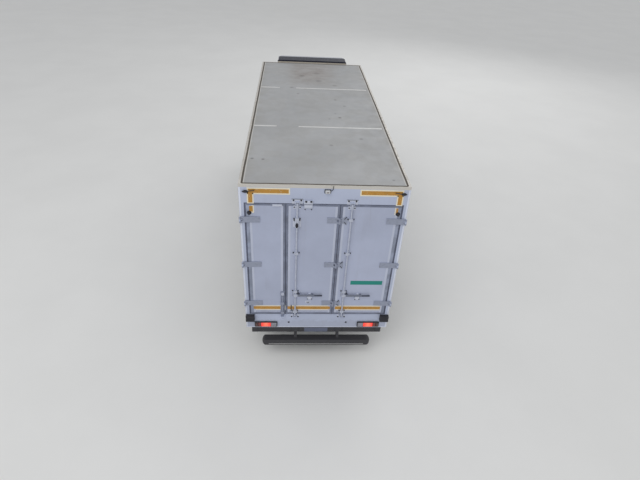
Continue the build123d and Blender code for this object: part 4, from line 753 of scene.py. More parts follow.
def mix_finishes():
    """Makes every finish, named after the record's material slots, and a few more for single pieces."""
    hues = bpy.context.scene.truck_colours

    def above_rails(recipe):
        return recipe.along("z", ROOF_TOP - 0.055, ROOF_TOP - 0.052)

    def unit_deck(recipe):
        return recipe.times(recipe.along("z", ROOF_TOP + 0.022, ROOF_TOP + 0.028),
                            recipe.along("y", BOX_FRONT - 0.36, BOX_FRONT - 0.34))

    painted("box_panel", hues.box, 0.4, streaks=0.32, splash=(0.75, 0.9), dents=0.0008)
    weathered_roof("roof_panel", hues.roof)
    painted("door_panel", hues.door, 0.4, streaks=0.22, splash=(0.95, 0.3), mud=0.4, dents=0.0006)
    painted("frame_paint", hues.frame, streaks=0.25, splash=(0.7, 0.35), mud=0.35, dents=0.0004,
            patch=(above_rails, hues.roof_edge))
    painted("cab_paint", hues.cab, 0.3, coat=0.4, streaks=0.12, splash=(0.85, 0.7), speckle=0.12, dents=0.0003)
    painted("bumper_paint", hues.bumper, 0.36, coat=0.3, streaks=0.15, splash=(0.2, 0.6), dents=0.0003)
    painted("unit_casing", srgb(182, 185, 192), 0.45, streaks=0.15, speckle=0.1, dents=0.0006,
            patch=(unit_deck, hues.unit))
    painted("chassis_paint", hues.chassis, 0.55, streaks=0.08, splash=(0.2, 1.0), mud=0.3, speckle=0.1)
    # dark_steel is also used for the painted shadows along the top of the header's keeper plates
    painted("dark_steel", srgb(52, 54, 60), 0.5, streaks=0.12, splash=(0.15, 0.7), mud=0.35, speckle=0.1)
    painted("rim_paint", srgb(150, 152, 156), streaks=0.1, splash=(0.0, 0.75), mud=0.6, speckle=0.3)
    painted("green_band", hues.band, 0.4, streaks=0.1, speckle=0.1, dents=0.0)
    painted("dial_face", srgb(20, 22, 26), 0.3, streaks=0.0, speckle=0.0, dents=0.0)
    for name, tint, roughness, streaks, dents in (
            ("white_plastic", (198, 200, 203), 0.5, 0.1, 0.0002), ("grey_plate", (96, 102, 122), 0.5, 0.2, 0.0015),
            ("pale_plate", (200, 205, 220), 0.4, 0.15, 0.0002), ("latch_plate", (134, 140, 160), 0.45, 0.15, 0.0),
            ("tape_edge", (236, 228, 204), 0.4, 0.1, 0.0), ("door_edge", (190, 196, 214), 0.4, 0.1, 0.0),
            # frame_edge_highlight: paler than the frame's paint, a painted highlight for the frame's lit outer edges
            ("frame_edge_highlight", (216, 221, 235), 0.4, 0.15, 0.0), ("lever_grip", (60, 64, 80), 0.5, 0.05, 0.0),
            ("unit_back", (178, 170, 157), 0.5, 0.25, 0.0)):
        painted(name, srgb(*tint), roughness, streaks=streaks, dents=dents)
    metal("aluminium_rail", hues.aluminium, 0.45, 0.4, (1, 0.02, 1), 0.2, 0.2, top=hues.roof_edge)
    metal("aluminium_floor", shade(hues.aluminium, 1.15), 0.42, 0.5, (1, 0.02, 1), 0.25)
    metal("cast_metal", srgb(92, 90, 88), 0.6, 0.6, tarnish=0.5, grime=0.5)
    # seam_strip_and_highlight also makes the painted highlight along the underrun bar
    metal("seam_strip_and_highlight", srgb(212, 212, 210), 0.5, 0.1, (0.02, 1, 1), 0.1, 0.2)
    metal("lamp_mirror", srgb(226, 228, 232), 0.12, 1.0, tarnish=0.05, grime=0.0)
    metal("mirror_glass", srgb(210, 214, 218), 0.04, 1.0, tarnish=0.02, grime=0.05)
    door_ironwork("zinc_steel", hues.steel, hues.rods)
    dull("tyre", hues.rubber, 0.85, 0.5, 420.0, 0.0005)
    dull("black_rubber", shade(hues.rubber, 1.2), 0.8, 0.12)
    dull("gasket_rubber", hues.gasket, 0.7, 0.12)
    dull("sealant", srgb(78, 72, 63), 0.7)
    dull("post_seal", srgb(84, 89, 108), 0.7, 0.1)
    dull("side_lip", srgb(142, 149, 168), 0.7, 0.1)
    dull("black_plastic", srgb(34, 36, 42), 0.55, 0.12)
    dull("dark_plastic", hues.plastic, 0.62, 0.12, 500.0, 0.0005)
    woven("seat_fabric", hues.fabric, srgb(120, 128, 140))
    clear_glass("glass")
    reflective_tape("orange_tape", hues.tape)
    lens("lamp_lens", srgb(226, 230, 232), clear_share=0.85, ribs=30.0)
    lens("red_lit", srgb(250, 66, 56), glow=0.62)
    for name, tint in (("red_lens", (188, 24, 20)), ("amber_lens", (214, 104, 26)), ("smoked_lens", (84, 40, 38)),
                       ("dim_lens", (132, 52, 46)), ("grey_lens", (150, 150, 160))):
        lens(name, srgb(*tint))


class TruckPiece:
    """What every operator of this file shares."""

    bl_options = {"REGISTER", "UNDO"}

    def execute(self, context):
        clear()
        self.build(context.scene)
        clear()
        return {"FINISHED"}


class TRUCK_OT_stage(TruckPiece, bpy.types.Operator):
    """Lay a plain floor, light the truck softly and set the camera high behind it"""

    bl_idname = "truck.stage"
    bl_label = "Stage"

    # each broad lamp's place and its power, and what they all aim at
    LAMPS = {"key_light": ((6, 14, 17), 900), "front_light": ((-9, -15, 13), 520)}
    LAMP_SIZE = 12
    TARGET = Vector((0, 0, 1.5))
    FLOOR_SIZE = 160
    EYE = (0.4976, 10.0385, 6.7986)
    YAW, PITCH, ROLL = radians(-4.516), radians(35.438), radians(3.368)

    def build(self, scene):
        stage = scene.truck_stage
        bpy.ops.mesh.primitive_plane_add(size=self.FLOOR_SIZE)
        floor = bpy.context.object
        edit(floor, "SELECT")
        bpy.ops.mesh.subdivide(number_cuts=3)
        clear()
        floor.name = "studio_floor"
        recipe = Recipe("studio_floor", 0.75)
        recipe.tone = recipe.mixed(recipe.between(recipe.noise(0.5, 5), 0.3, 0.7), shade(stage.floor, 0.97),
                                   stage.floor)
        recipe.paint()
        floor.data.materials.append(recipe.material)
        self.light_world(stage.sky)
        for name, (place, power) in self.LAMPS.items():
            bpy.ops.object.light_add(type="AREA", location=place)
            lamp = bpy.context.object
            lamp.name = name
            lamp.data.size = self.LAMP_SIZE
            lamp.data.energy = power * stage.key
            lamp.rotation_euler = (self.TARGET - Vector(place)).to_track_quat("-Z", "Y").to_euler()
        self.set_camera(stage.lens)
        scene.view_settings.view_transform = "Standard"

    def light_world(self, strength):
        """Even pale light all round."""
        world = bpy.data.worlds.new("studio_world")
        world.use_nodes = True
        bpy.context.scene.world = world
        tree = world.node_tree
        backdrop = tree.nodes["Background"]
        backdrop.inputs["Color"].default_value = (0.86, 0.87, 0.89, 1)
        backdrop.inputs["Strength"].default_value = strength
        seen = tree.nodes.new("ShaderNodeBackground")
        seen.inputs["Color"].default_value = (0.86, 0.87, 0.88, 1)
        rays = tree.nodes.new("ShaderNodeLightPath")
        either = tree.nodes.new("ShaderNodeMath")
        either.operation = "MAXIMUM"
        mix = tree.nodes.new("ShaderNodeMixShader")
        for source, target in (
                (rays.outputs["Is Camera Ray"], either.inputs[0]),
                (rays.outputs["Is Transmission Ray"], either.inputs[1]), (either.outputs[0], mix.inputs[0]),
                (backdrop.outputs[0], mix.inputs[1]), (seen.outputs[0], mix.inputs[2]),
                (mix.outputs[0], tree.nodes["World Output"].inputs[0])):
            tree.links.new(source, target)

    def set_camera(self, lens_length):
        """The camera looks down on the truck's back, turned a little and leaning a little."""
        ahead = Vector((sin(self.YAW) * cos(self.PITCH), -cos(self.YAW) * cos(self.PITCH), -sin(self.PITCH)))
        right = Vector((-cos(self.YAW), -sin(self.YAW), 0))
        up = right.cross(ahead)
        across = right * cos(self.ROLL) + up * sin(self.ROLL)
        above = up * cos(self.ROLL) - right * sin(self.ROLL)
        bpy.ops.object.camera_add(location=self.EYE)
        camera = bpy.context.object
        camera.name = "photo_camera"
        camera.matrix_world = Matrix.Translation(self.EYE) @ Matrix((across, above, -ahead)).transposed().to_4x4()
        camera.data.sensor_width = 36
        camera.data.lens = lens_length
        camera.data.clip_end = 300
        bpy.context.scene.camera = camera


class TRUCK_OT_finishes(TruckPiece, bpy.types.Operator):
    """Mix every paint, metal, rubber and cloth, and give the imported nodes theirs"""

    bl_idname = "truck.finishes"
    bl_label = "Finishes"

    def build(self, scene):
        mix_finishes()
        for node in frame["nodes"].values():
            for slot in node.material_slots:
                slot.material = FINISHES[slot.material.name.split(".")[0]]
        for name in ("box_front_wall", "box_side_walls"):
            frame["nodes"][name].material_slots[0].material = FINISHES["box_panel"]


class TRUCK_OT_roof(TruckPiece, bpy.types.Operator):
    """Cover the roof with its skin, cross seams, sealant and riveted rails"""

    bl_idname = "truck.roof"
    bl_label = "Roof"

    SKIN_HALF = 1.196
    SKIN_FRONT = BOX_FRONT + 0.05
    SKIN_BACK = 4.196
    # height along the roof, and the x at which each cover strip starts and stops
    SEAMS = ((2.064, ((-1.14, 0.372), (0.765, 1.165))), (-0.125, ((-1.13, 0.41), (0.765, 1.165))))
    SEAM_PITCH = 0.12
    # points along each bead of sealant, and how far each strays
    BEAD_STEPS = 26
    BEAD_DRIFT = 0.003

    def build(self, scene):
        sizes = scene.truck_sizes
        self.skin()
        seams = []
        for y, runs in self.SEAMS:
            for start, stop in runs:
                strip = bar((start, y - sizes.seam_width / 2, ROOF_TOP - 0.001),
                            (stop, y + sizes.seam_width / 2, ROOF_TOP + 0.0035), 0.0015)
                heads = in_row(dome((start + 0.03, y, ROOF_TOP + 0.003), 0.006), (self.SEAM_PITCH, 0, 0),
                               int((stop - start) / self.SEAM_PITCH))
                seams += [strip, heads]
        finished(seams, "roof_seams", "seam_strip_and_highlight")
        self.sealant(sizes.sealant_width / 2)
        self.rivets(sizes.rivet_radius, sizes.rivet_pitch)

    def skin(self):
        """A thin skin, slightly quilted over the foam."""
        clear()
        bpy.ops.mesh.primitive_grid_add(x_subdivisions=24, y_subdivisions=64, size=1)
        obj = bpy.context.object
        obj.scale = (2 * self.SKIN_HALF, self.SKIN_BACK - self.SKIN_FRONT, 1)
        obj.location = (0, (self.SKIN_BACK + self.SKIN_FRONT) / 2, ROOF_TOP + 0.0005)
        settle(obj)
        draw = random.Random(7)
        a, b, c, d = (draw.uniform(0, 6.3) for _ in range(4))
        for vertex in obj.data.vertices:
            x, y = vertex.co.x, vertex.co.y
            inside = max(0.0, 1 - (x / self.SKIN_HALF) ** 4)
            swell = sin(1.9 * x + a) * sin(1.4 * y + b) + sin(3.1 * y + c) * cos(2.3 * x + d)
            vertex.co.z += 0.0011 * inside * (1 + 0.5 * swell)
        modify(obj, "SOLIDIFY", thickness=0.003, offset=-1)
        finished(obj, "roof_skin", "roof_panel")

    def sealant(self, radius):
        """Dark bead round the skin, a little uneven as laid by hand."""
        half, front, back = self.SKIN_HALF, self.SKIN_FRONT, self.SKIN_BACK
        draw = random.Random(11)
        beads = []
        for start, end in (((-half, front), (-half, back)), ((half, front), (half, back)),
                           ((-half, back), (half, back)), ((-half, front), (half, front))):
            points = []
            for index in range(self.BEAD_STEPS + 1):
                share = index / self.BEAD_STEPS
                x, y = (a + (b - a) * share + draw.uniform(-self.BEAD_DRIFT, self.BEAD_DRIFT)
                        for a, b in zip(start, end))
                points.append((x, y, 0))
            bead = tube(points, radius)
            bead.scale = (1, 1, 0.22)
            bead.location = (0, 0, ROOF_TOP + 0.001)
            beads.append(settle(bead))
        finished(beads, "roof_sealant", "sealant")

    def rivets(self, radius, pitch):
        """Rivets along both roof rails and the foot rails, and round the front wall."""
        along = int((FRAME_BACK - BOX_FRONT) / pitch)
        rows = [in_row(dome((BOX_SIDE - 0.0005, BOX_FRONT + 0.08, z), radius, "x"), (0, pitch, 0), along)
                for z in (ROOF_TOP - 0.035, ROOF_TOP - 0.1, 1.085, 1.0)]
        rows.append(in_row(dome((BOX_SIDE - 0.03, BOX_FRONT + 0.08, ROOF_TOP - 0.0005), radius), (0, pitch, 0), along))
        finished(both(rows), "rail_rivets", "aluminium_rail")
        upright = in_row(dome((BOX_SIDE - 0.0005, BOX_FRONT + 0.03, 1.2), radius, "x"), (0, 0, pitch), 16)
        across = [in_row(dome((-1.12, BOX_FRONT - 0.0045, z), radius, "-y"), (pitch, 0, 0), 16)
                  for z in (ROOF_TOP - 0.04, 1.02)]
        finished([both(upright), *across], "front_rivets", "aluminium_rail")


def tape(name, spans, body="chassis"):
    """Marking tape on the rear face: gold strips between (x, z) corners, each on a paler sealed edge."""
    edges = [slab((x0 - 0.018, z0 - 0.020), (x1 + 0.018, z1 + 0.020), 0.0009, 0.0003, 1)
             for (x0, z0), (x1, z1) in spans]
    strips = [slab(low, high, 0.0016, 0.0004, 1) for low, high in spans]
    finished(edges, name + "_edge", "tape_edge", body)
    finished(strips, name, "orange_tape", body)


class TRUCK_OT_rear_frame(TruckPiece, bpy.types.Operator):
    """Fit the tape, camera, plate, grommets and small brackets of the rear frame"""

    bl_idname = "truck.rear_frame"
    bl_label = "Rear Frame Trim"

    # middle height of the header's tape, and the camera's place across and up
    TAPE_Z = 3.487
    CAMERA = (-0.033, 3.503)

    def build(self, scene):
        foot = self.TAPE_Z - scene.truck_sizes.tape_height / 2
        top = self.TAPE_Z + scene.truck_sizes.tape_height / 2
        spans = [((0.526, foot), (1.105, top)), ((-1.129, foot), (-0.526, top))]
        spans += [((x - 0.03, HEADER_BOTTOM + 0.01), (x + 0.03, foot)) for x in (1.079, -1.103)]
        tape("header_tape", spans)
        self.rear_camera(*self.CAMERA)
        self.brackets()
        self.lips()
        self.sill()

    def rear_camera(self, x, z):
        """Small reversing camera, with its bracket bent up to the roof's edge."""
        back = slab((x - 0.047, z - 0.032), (x + 0.047, z + 0.032), 0.01, 0.003)
        bracket = hose([(x - 0.04, 0.008, z + 0.004), (x - 0.074, 0.009, z + 0.02), (x - 0.08, 0.009, z + 0.06),
                        (x - 0.08, 0.004, ROOF_TOP - 0.012)], 0.0045)
        finished([back, bracket], "camera_bracket", "black_plastic")
        case = slab((x - 0.036, z - 0.02), (x + 0.036, z + 0.024), 0.048, 0.008, 3, 0.006)
        finished(hollowed(case, (0, 1, 0), 0.008, 0.006), "camera_body", "white_plastic")
        eye = drum((x, DOOR_FACE + 0.044, z + 0.001), 0.011, 0.008, "y", 16, 0.002, 0.7)
        finished(eye, "camera_eye", "smoked_lens")

    def brackets(self):
        """Door contact on the header, keepers of the lock rods, hold-back stubs at the upper corners, and painted
        shadows along the top of the header's keeper plates.
        """
        rods = RODS.values()
        case = slab((0.172, 3.288), (0.302, 3.345), 0.022, 0.004)
        screws = domes(spots((0.185, 0.289), 0.021, (3.3, 3.333)), 0.006)
        finished([case, screws], "door_contact", "pale_plate")
        slots = [slab((x - 0.034, SILL_TOP - 0.044), (x + 0.034, SILL_TOP - 0.030), 0.009, 0.002, start=0.003)
                 for x in rods]
        finished([bolts(spots((0.197, 0.272), 0.021, (3.334,)), 0.013, 0.008), *slots], "contact_bolts", "dark_steel")
        plates = [slab((x - 0.08, HEADER_BOTTOM + 0.004), (x + 0.08, HEADER_BOTTOM + 0.078), 0.004) for x in rods]
        plates += [slab((x - 0.07, SILL_TOP - 0.066), (x + 0.07, SILL_TOP - 0.002), 0.004) for x in rods]
        finished(plates, "keeper_plates", "pale_plate")
        stub = [slab((1.118, 3.462), (1.172, 3.5), 0.022, 0.006, 3),
                hose([(1.13, 0.016, 3.486), (1.08, 0.02, 3.494), (1.015, 0.02, 3.508)], 0.006),
                drum((1.178, DOOR_FACE + 0.012, 3.478), 0.009, 0.028, "x", 14, 0.003)]
        finished(both(stub), "corner_stubs", "black_rubber")
        heads = bolts(spots([x + shift for x in rods for shift in (-0.056, 0.056)], 0.0035,
                            (HEADER_BOTTOM + 0.062, SILL_TOP - 0.054)), 0.010, 0.01)
        # painted shadows: dark strips along the top edge of each header keeper plate, put where shade falls
        shadows = [slab((x - 0.085, HEADER_BOTTOM + 0.078), (x + 0.085, HEADER_BOTTOM + 0.084), 0.005, 0.001)
                   for x in rods]
        finished([heads, *shadows], "keeper_bolts", "dark_steel")

    def lips(self):
        """Painted highlights: pale strips along the frame's outer edges, where the edges catch the light; and seals
        beside and above the leaves.
        """
        # the pale strips on the sill's foot and the posts' outer edges are painted highlights, a paler copy of the
        # frame's paint
        foot = slab((-BOX_SIDE + 0.004, SILL_BOTTOM + 0.0005), (BOX_SIDE - 0.004, SILL_BOTTOM + 0.013), 0.0025, 0.002,
                    start=-0.004)
        post = slab((BOX_SIDE - 0.028, SILL_BOTTOM + 0.013), (BOX_SIDE - 0.002, ROOF_TOP - 0.056), 0.0015, 0.001,
                    start=-0.003)
        finished([foot, both(post)], "frame_edge_highlights", "frame_edge_highlight")
        inner = edge("rear_door_left", "x", 1) + 0.004
        outer = inner + 0.026
        post = slab((inner, SILL_TOP + 0.004), (outer, HEADER_BOTTOM), 0.0008, 0.0006, start=-0.012)
        head = slab((-outer, HEADER_BOTTOM + 0.0005), (outer, HEADER_BOTTOM + 0.008), 0.0008, 0.0006, start=-0.012)
        finished([both(post), head], "post_seals", "post_seal")

    def sill(self):
        """Grommets, plate and bolts across the sill and the beam below it, and a pale line along the underrun bar that
        is a painted highlight.
        """
        ring = hollowed(drum((0.504, DOOR_FACE + 0.003, 0.861), 0.017, 0.008, "y", 18, 0.003), (0, 1, 0), 0.007, 0.006)
        finished(both(ring), "sill_grommets", "black_rubber")
        beam = edge("rear_cross_beam", "y", 1)
        plate = hollowed(bar((-0.19, beam, 0.618), (0.225, beam + 0.004, 0.722), 0.002), (0, 1, 0), 0.008, 0.001)
        screws = domes([(x, beam + 0.003, 0.67) for x in (-0.16, 0.195)], 0.006)
        finished([plate, screws], "blank_plate", "grey_plate")
        buffer = edge("dock_bumpers", "y", 1)
        for name, y, radius, height, columns, rows in (
                ("beam_bolts", beam - 0.0005, 0.011, 0.01, (0.32, 0.45, 1.05), (0.64, 0.7)),
                ("buffer_bolts", buffer - 0.012, 0.013, 0.008, (1.122, 1.212), (0.955, 1.023))):
            heads = bolts([(x, y, z) for x in columns for z in rows], radius, height)
            finished(both(heads), name, "dark_steel")
        # painted highlight: a thin pale strip along the underrun bar's lower edge, standing in for light caught there
        guard = edge("underrun_bar", "y", 1)
        line = bar((-0.86, guard - 0.002, 0.352), (0.86, guard + 0.0005, 0.361), 0.0008)
        finished(line, "underrun_highlight", "seam_strip_and_highlight")


class TRUCK_OT_rear_doors(TruckPiece, bpy.types.Operator):
    """Dress the three door leaves: gaskets, tape, bolts, buffers and the green band"""

    bl_idname = "truck.rear_doors"
    bl_label = "Rear Doors"

    # where each leaf's tape runs across, and where it climbs
    LEAVES = {"rear_door_left": ((0.647, 1.126), 1.079), "rear_door_center": ((-0.201, 0.553), None),
              "rear_door_right": ((-1.076, -0.286), -1.103)}
    TAPE_FOOT = 1.174
    STRAP_COLUMNS = {"rear_door_left": (0.965, 1.0, 1.06, 1.11),
                     "rear_door_right": (-0.965, -1.0, -1.06, -1.11, -0.275, -0.335),
                     "rear_door_center": (-0.072, -0.115, -0.175)}
    RIVET_PITCH = 0.12

    def build(self, scene):
        sizes = scene.truck_sizes
        for name, ((start, stop), climb) in self.LEAVES.items():
            low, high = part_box(name)
            self.gasket(name, low, high, sizes)
            spans = [((start, self.TAPE_FOOT), (stop, self.TAPE_FOOT + sizes.tape_height))]
            if climb:
                spans.append(((climb - 0.03, 3.139), (climb + 0.03, DOOR_TOP - 0.04)))
            tape(name + "_tape", spans, name)
            self.kick_plate(name, low, high)
        self.buffers()
        band = slab((-1.042, 1.738), (-0.509, 1.821), 0.0015, 0.0006, 1)
        finished(band, "green_band", "green_band", "rear_door_right")
        self.strap_bolts()
        for name, x in RODS.items():
            self.rod_fittings(name, x)
        self.small_fittings()

    def gasket(self, name, low, high, sizes):
        """Soft lip round the leaf's face, wider towards the truck's side, and the leaf's pale edges."""
        width = sizes.gasket_width
        left = sizes.gasket_side if name == "rear_door_right" else width
        right = sizes.gasket_side if name == "rear_door_left" else width
        strips, lips = [], []
        for reach, x0, x1 in ((left, low.x - 0.004, low.x + left), (right, high.x - right, high.x + 0.004)):
            lip = slab((x0, low.z + 0.002), (x1, high.z - 0.002), 0.003, 0.0028, 3, -0.012)
            (strips if reach == width else lips).append(lip)
        if lips:
            finished(lips, name + "_side_lip", "side_lip", name)
        for z0, z1 in ((low.z - 0.002, low.z + width * 1.2), (high.z - width * 0.9, high.z + 0.002)):
            strips.append(slab((low.x, z0), (high.x, z1), 0.0032, 0.0028, 3, -0.012))
        finished(strips, name + "_gasket", "gasket_rubber", name)
        rims = [slab((x - 0.002, low.z + width), (x + 0.034, high.z - width * 0.9), 0.0012, 0.0006, 1, -0.001)
                for x in (low.x + left, high.x - right - 0.032)]
        finished(rims, name + "_edge_trim", "door_edge", name)

    def kick_plate(self, name, low, high):
        """Ribbed plate inside the leaf's foot and a liner edge."""
        inner = edge(name, "y", 0)
        plate = bar((low.x + 0.06, inner - 0.003, low.z + 0.05), (high.x - 0.06, inner + 0.001, low.z + 0.38), 0.001)
        heads = in_row(dome((low.x + 0.09, inner - 0.0028, low.z + 0.34), 0.005, "-y"), (self.RIVET_PITCH, 0, 0),
                       int((high.x - low.x - 0.16) / self.RIVET_PITCH) + 1)
        finished([plate, heads], name + "_kick_plate", "aluminium_floor", name)

    def buffers(self):
        """Rubber stops that meet the truck's side, or the next leaf, when a leaf is folded back."""
        for name, x, z in (("rear_door_left", 1.103, 3.121), ("rear_door_right", -1.108, 3.135)):
            foot = drum((x, DOOR_FACE + 0.004, z), 0.034, 0.008, "y", 20, 0.003)
            cone = drum((x, DOOR_FACE + 0.024, z), 0.019, 0.034, "y", 20, 0.005, 1.45)
            finished([foot, cone], name + "_buffer", "black_rubber", name)
        name, z, stand = "rear_door_center", 2.93, 0.036
        x = RODS[name]
        # half the bridge's section, from its foot's end over its top, then the same inside
        outside = [(-0.062, 0), (-0.062, 0.003), (-0.030, 0.003), (-0.024, stand)]
        inside = [(0.028, 0), (0.021, stand - 0.003)]
        section = outside + [(-a, b) for a, b in reversed(outside)] + inside + [(-a, b) for a, b in reversed(inside)]
        bridge = prism([(x + a, DOOR_FACE + b) for a, b in section], "z", z - 0.05, z + 0.085)
        finished(bridge, "buffer_bridge", "pale_plate", name)
        stop = drum((0, DOOR_FACE + stand + 0.012, 0), 0.020, 0.026, "y", 24, 0.006, 1.2)
        stop.scale = (1, 1, 1.75)
        stop.location = (x, 0, z)
        marks = each_side(lambda side: prism([(x + side * 0.012, z + 0.072), (x + side * 0.05, z + 0.098),
                                              (x + side * 0.05, z + 0.06)], "y", DOOR_FACE + 0.003, DOOR_FACE + 0.012))
        finished([settle(stop), *marks], name + "_buffer", "black_rubber", name)

    def strap_bolts(self):
        """Round heads that hold the hinge straps, and the forked ends of the right leaf's inner straps."""
        for name, columns in self.STRAP_COLUMNS.items():
            places = spots(columns, 0.0078, [z + up for z in HINGES for up in (-0.031, 0.031)])
            finished(domes(places, 0.009, "y", 0.45, 10), name + "_strap_bolts", "zinc_steel", name)
        fork = each_side(lambda up: hose([(-0.312, 0.008, up * 0.022), (-0.326, 0.010, up * 0.048),
                                          (-0.343, 0.006, up * 0.066)], 0.0055))
        finished(at_places(joined(fork), [(0, 0, z) for z in HINGES]), "rear_door_right_strap_forks", "dark_steel",
                 "rear_door_right")

    def rod_fittings(self, name, x):
        """Plates and bolts of a lock rod's guides and ends, its lever's seat, and the grip and catch."""
        def heads(part, radius, height, columns, out, rows):
            finished(bolts(spots(columns, out, rows), radius, height), f"{name}_{part}_bolts", "dark_steel", name)

        heads("guide", 0.009, 0.01, (x + 0.043, x - 0.043), 0.0025, GUIDES)
        guides = [slab((x - 0.058, z - 0.018), (x + 0.058, z + 0.018), 0.003, 0.001) for z in GUIDES]
        guides.append(slab((x - 0.04, LEVER_Z - 0.045), (x + 0.045, LEVER_Z + 0.045), 0.004))
        finished(guides, name + "_rod_guides", "zinc_steel", name)
        grip = slab((x - 0.448, LEVER_Z - 0.015), (x - 0.31, LEVER_Z + 0.015), 0.045, 0.006, 3, 0.027)
        catch = prism([(x - 0.075, LEVER_Z + 0.02), (x - 0.045, LEVER_Z + 0.055), (x - 0.03, LEVER_Z + 0.02)],
                      "y", DOOR_FACE + 0.004, DOOR_FACE + 0.03, 0.002)
        finished([grip, catch], name + "_lever_grip", "lever_grip", name)
        seat = prism([(x - 0.290, 1.418), (x - 0.190, 1.418), (x - 0.222, 1.548), (x - 0.258, 1.548)], "y", DOOR_FACE,
                     DOOR_FACE + 0.022, 0.004)
        finished(seat, name + "_lever_seat", "pale_plate", name)
        heads("lever_seat", 0.008, 0.007, (x - 0.275, x - 0.205), 0.021, (1.43,))
        ends = [slab((x - 0.055, z0), (x + 0.055, z1), 0.004)
                for z0, z1 in ((DOOR_TOP - 0.078, DOOR_TOP - 0.02), (DOOR_BOTTOM + 0.02, DOOR_BOTTOM + 0.07))]
        finished(ends, name + "_rod_ends", "pale_plate", name)
        heads("rod_end", 0.008, 0.009, (x + 0.042, x - 0.042), 0.0035, (DOOR_TOP - 0.049, DOOR_BOTTOM + 0.045))

    def small_fittings(self):
        """The latch's long plate, the door contacts and a padlock eye."""
        plate = slab((0.580, 1.066), (0.645, 1.585), 0.0045, 0.001)
        heads = domes(spots((0.587, 0.637), 0.004, (1.16, 1.28, 1.40, 1.49)), 0.006, flat=0.6)
        finished([plate, heads], "latch_plate", "latch_plate", "rear_door_left")
        cover = slab((0.62, 3.240), (0.762, 3.273), 0.016, 0.004)
        finished(cover, "contact_cover", "pale_plate", "rear_door_left")
        centre = "rear_door_center"
        contact = slab((0.176, DOOR_TOP - 0.058), (0.298, DOOR_TOP - 0.003), 0.018, 0.004)
        finished(contact, "leaf_contact", "pale_plate", centre)
        heads = bolts(spots((0.19, 0.284), -0.0005, (DOOR_TOP - 0.086,)), 0.007, 0.009)
        staple = hose([(0.466, -0.002, 1.14), (0.466, 0.018, 1.146), (0.466, 0.018, 1.262), (0.466, -0.002, 1.268)],
                      0.0065)
        finished([heads, staple], "leaf_contact_bolts", "dark_steel", centre)
        base = slab((0.14, 1.318), (0.226, 1.376), 0.004)
        finished(base, "padlock_plate", "pale_plate", centre)
        eye = hose([(0.165, 0, 1.347), (0.165, 0.03, 1.347), (0.2, 0.03, 1.347), (0.2, 0, 1.347)], 0.0045)
        finished(eye, "padlock_eye", "dark_steel", centre)


class TRUCK_OT_rear_lamps(TruckPiece, bpy.types.Operator):
    """Replace the plain tail lamps with housings, bezels and four-part lenses"""

    bl_idname = "truck.rear_lamps"
    bl_label = "Rear Lamps"

    # ends of a tail lamp across
    INNER, OUTER = 0.703, 1.097
    # share of the lens from its inner end, and what it is made of
    CHAMBERS = ((0.0, 0.27, "grey_lens"), (0.27, 0.73, "red_lit"), (0.73, 0.87, "dim_lens"), (0.87, 1.0, "smoked_lens"))
    MARKERS = (-1.9, -0.3, 1.3, 2.9)

    def build(self, scene):
        low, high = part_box("tail_lamps")
        shell = bar((self.INNER, DOOR_FACE, low.z), (self.OUTER, high.y - 0.006, high.z), 0.014, 4)
        finished(both(hollowed(shell, (0, 1, 0), 0.004, 0.012)), "tail_lamp_housings", "black_plastic")
        lenses = []
        first, span = self.INNER + 0.012, self.OUTER - self.INNER - 0.024
        for side in (LEFT, RIGHT):
            for start, end, look in self.CHAMBERS:
                pane = bar((side * (first + span * start + 0.002), DOOR_FACE + 0.01, low.z + 0.016),
                           (side * (first + span * end - 0.002), high.y, high.z - 0.016), 0.006, 3)
                pane.data.materials.append(FINISHES[look])
                lenses.append(pane)
        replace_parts(finished(lenses, "tail_lamp_lenses", None), "tail_lamps")
        low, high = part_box("marker_lamps")
        bezels = [bar((BOX_SIDE - 0.001, y - 0.03, low.z), (BOX_SIDE + 0.008, y + 0.03, high.z), 0.004, 3)
                  for y in self.MARKERS]
        glows = [bar((BOX_SIDE + 0.004, y - 0.024, low.z + 0.006), (high.x, y + 0.024, high.z - 0.006), 0.005, 3)
                 for y in self.MARKERS]
        finished(both(bezels), "marker_bezels", "black_plastic")
        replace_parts(finished(both(glows), "marker_lenses", "amber_lens"), "marker_lamps")


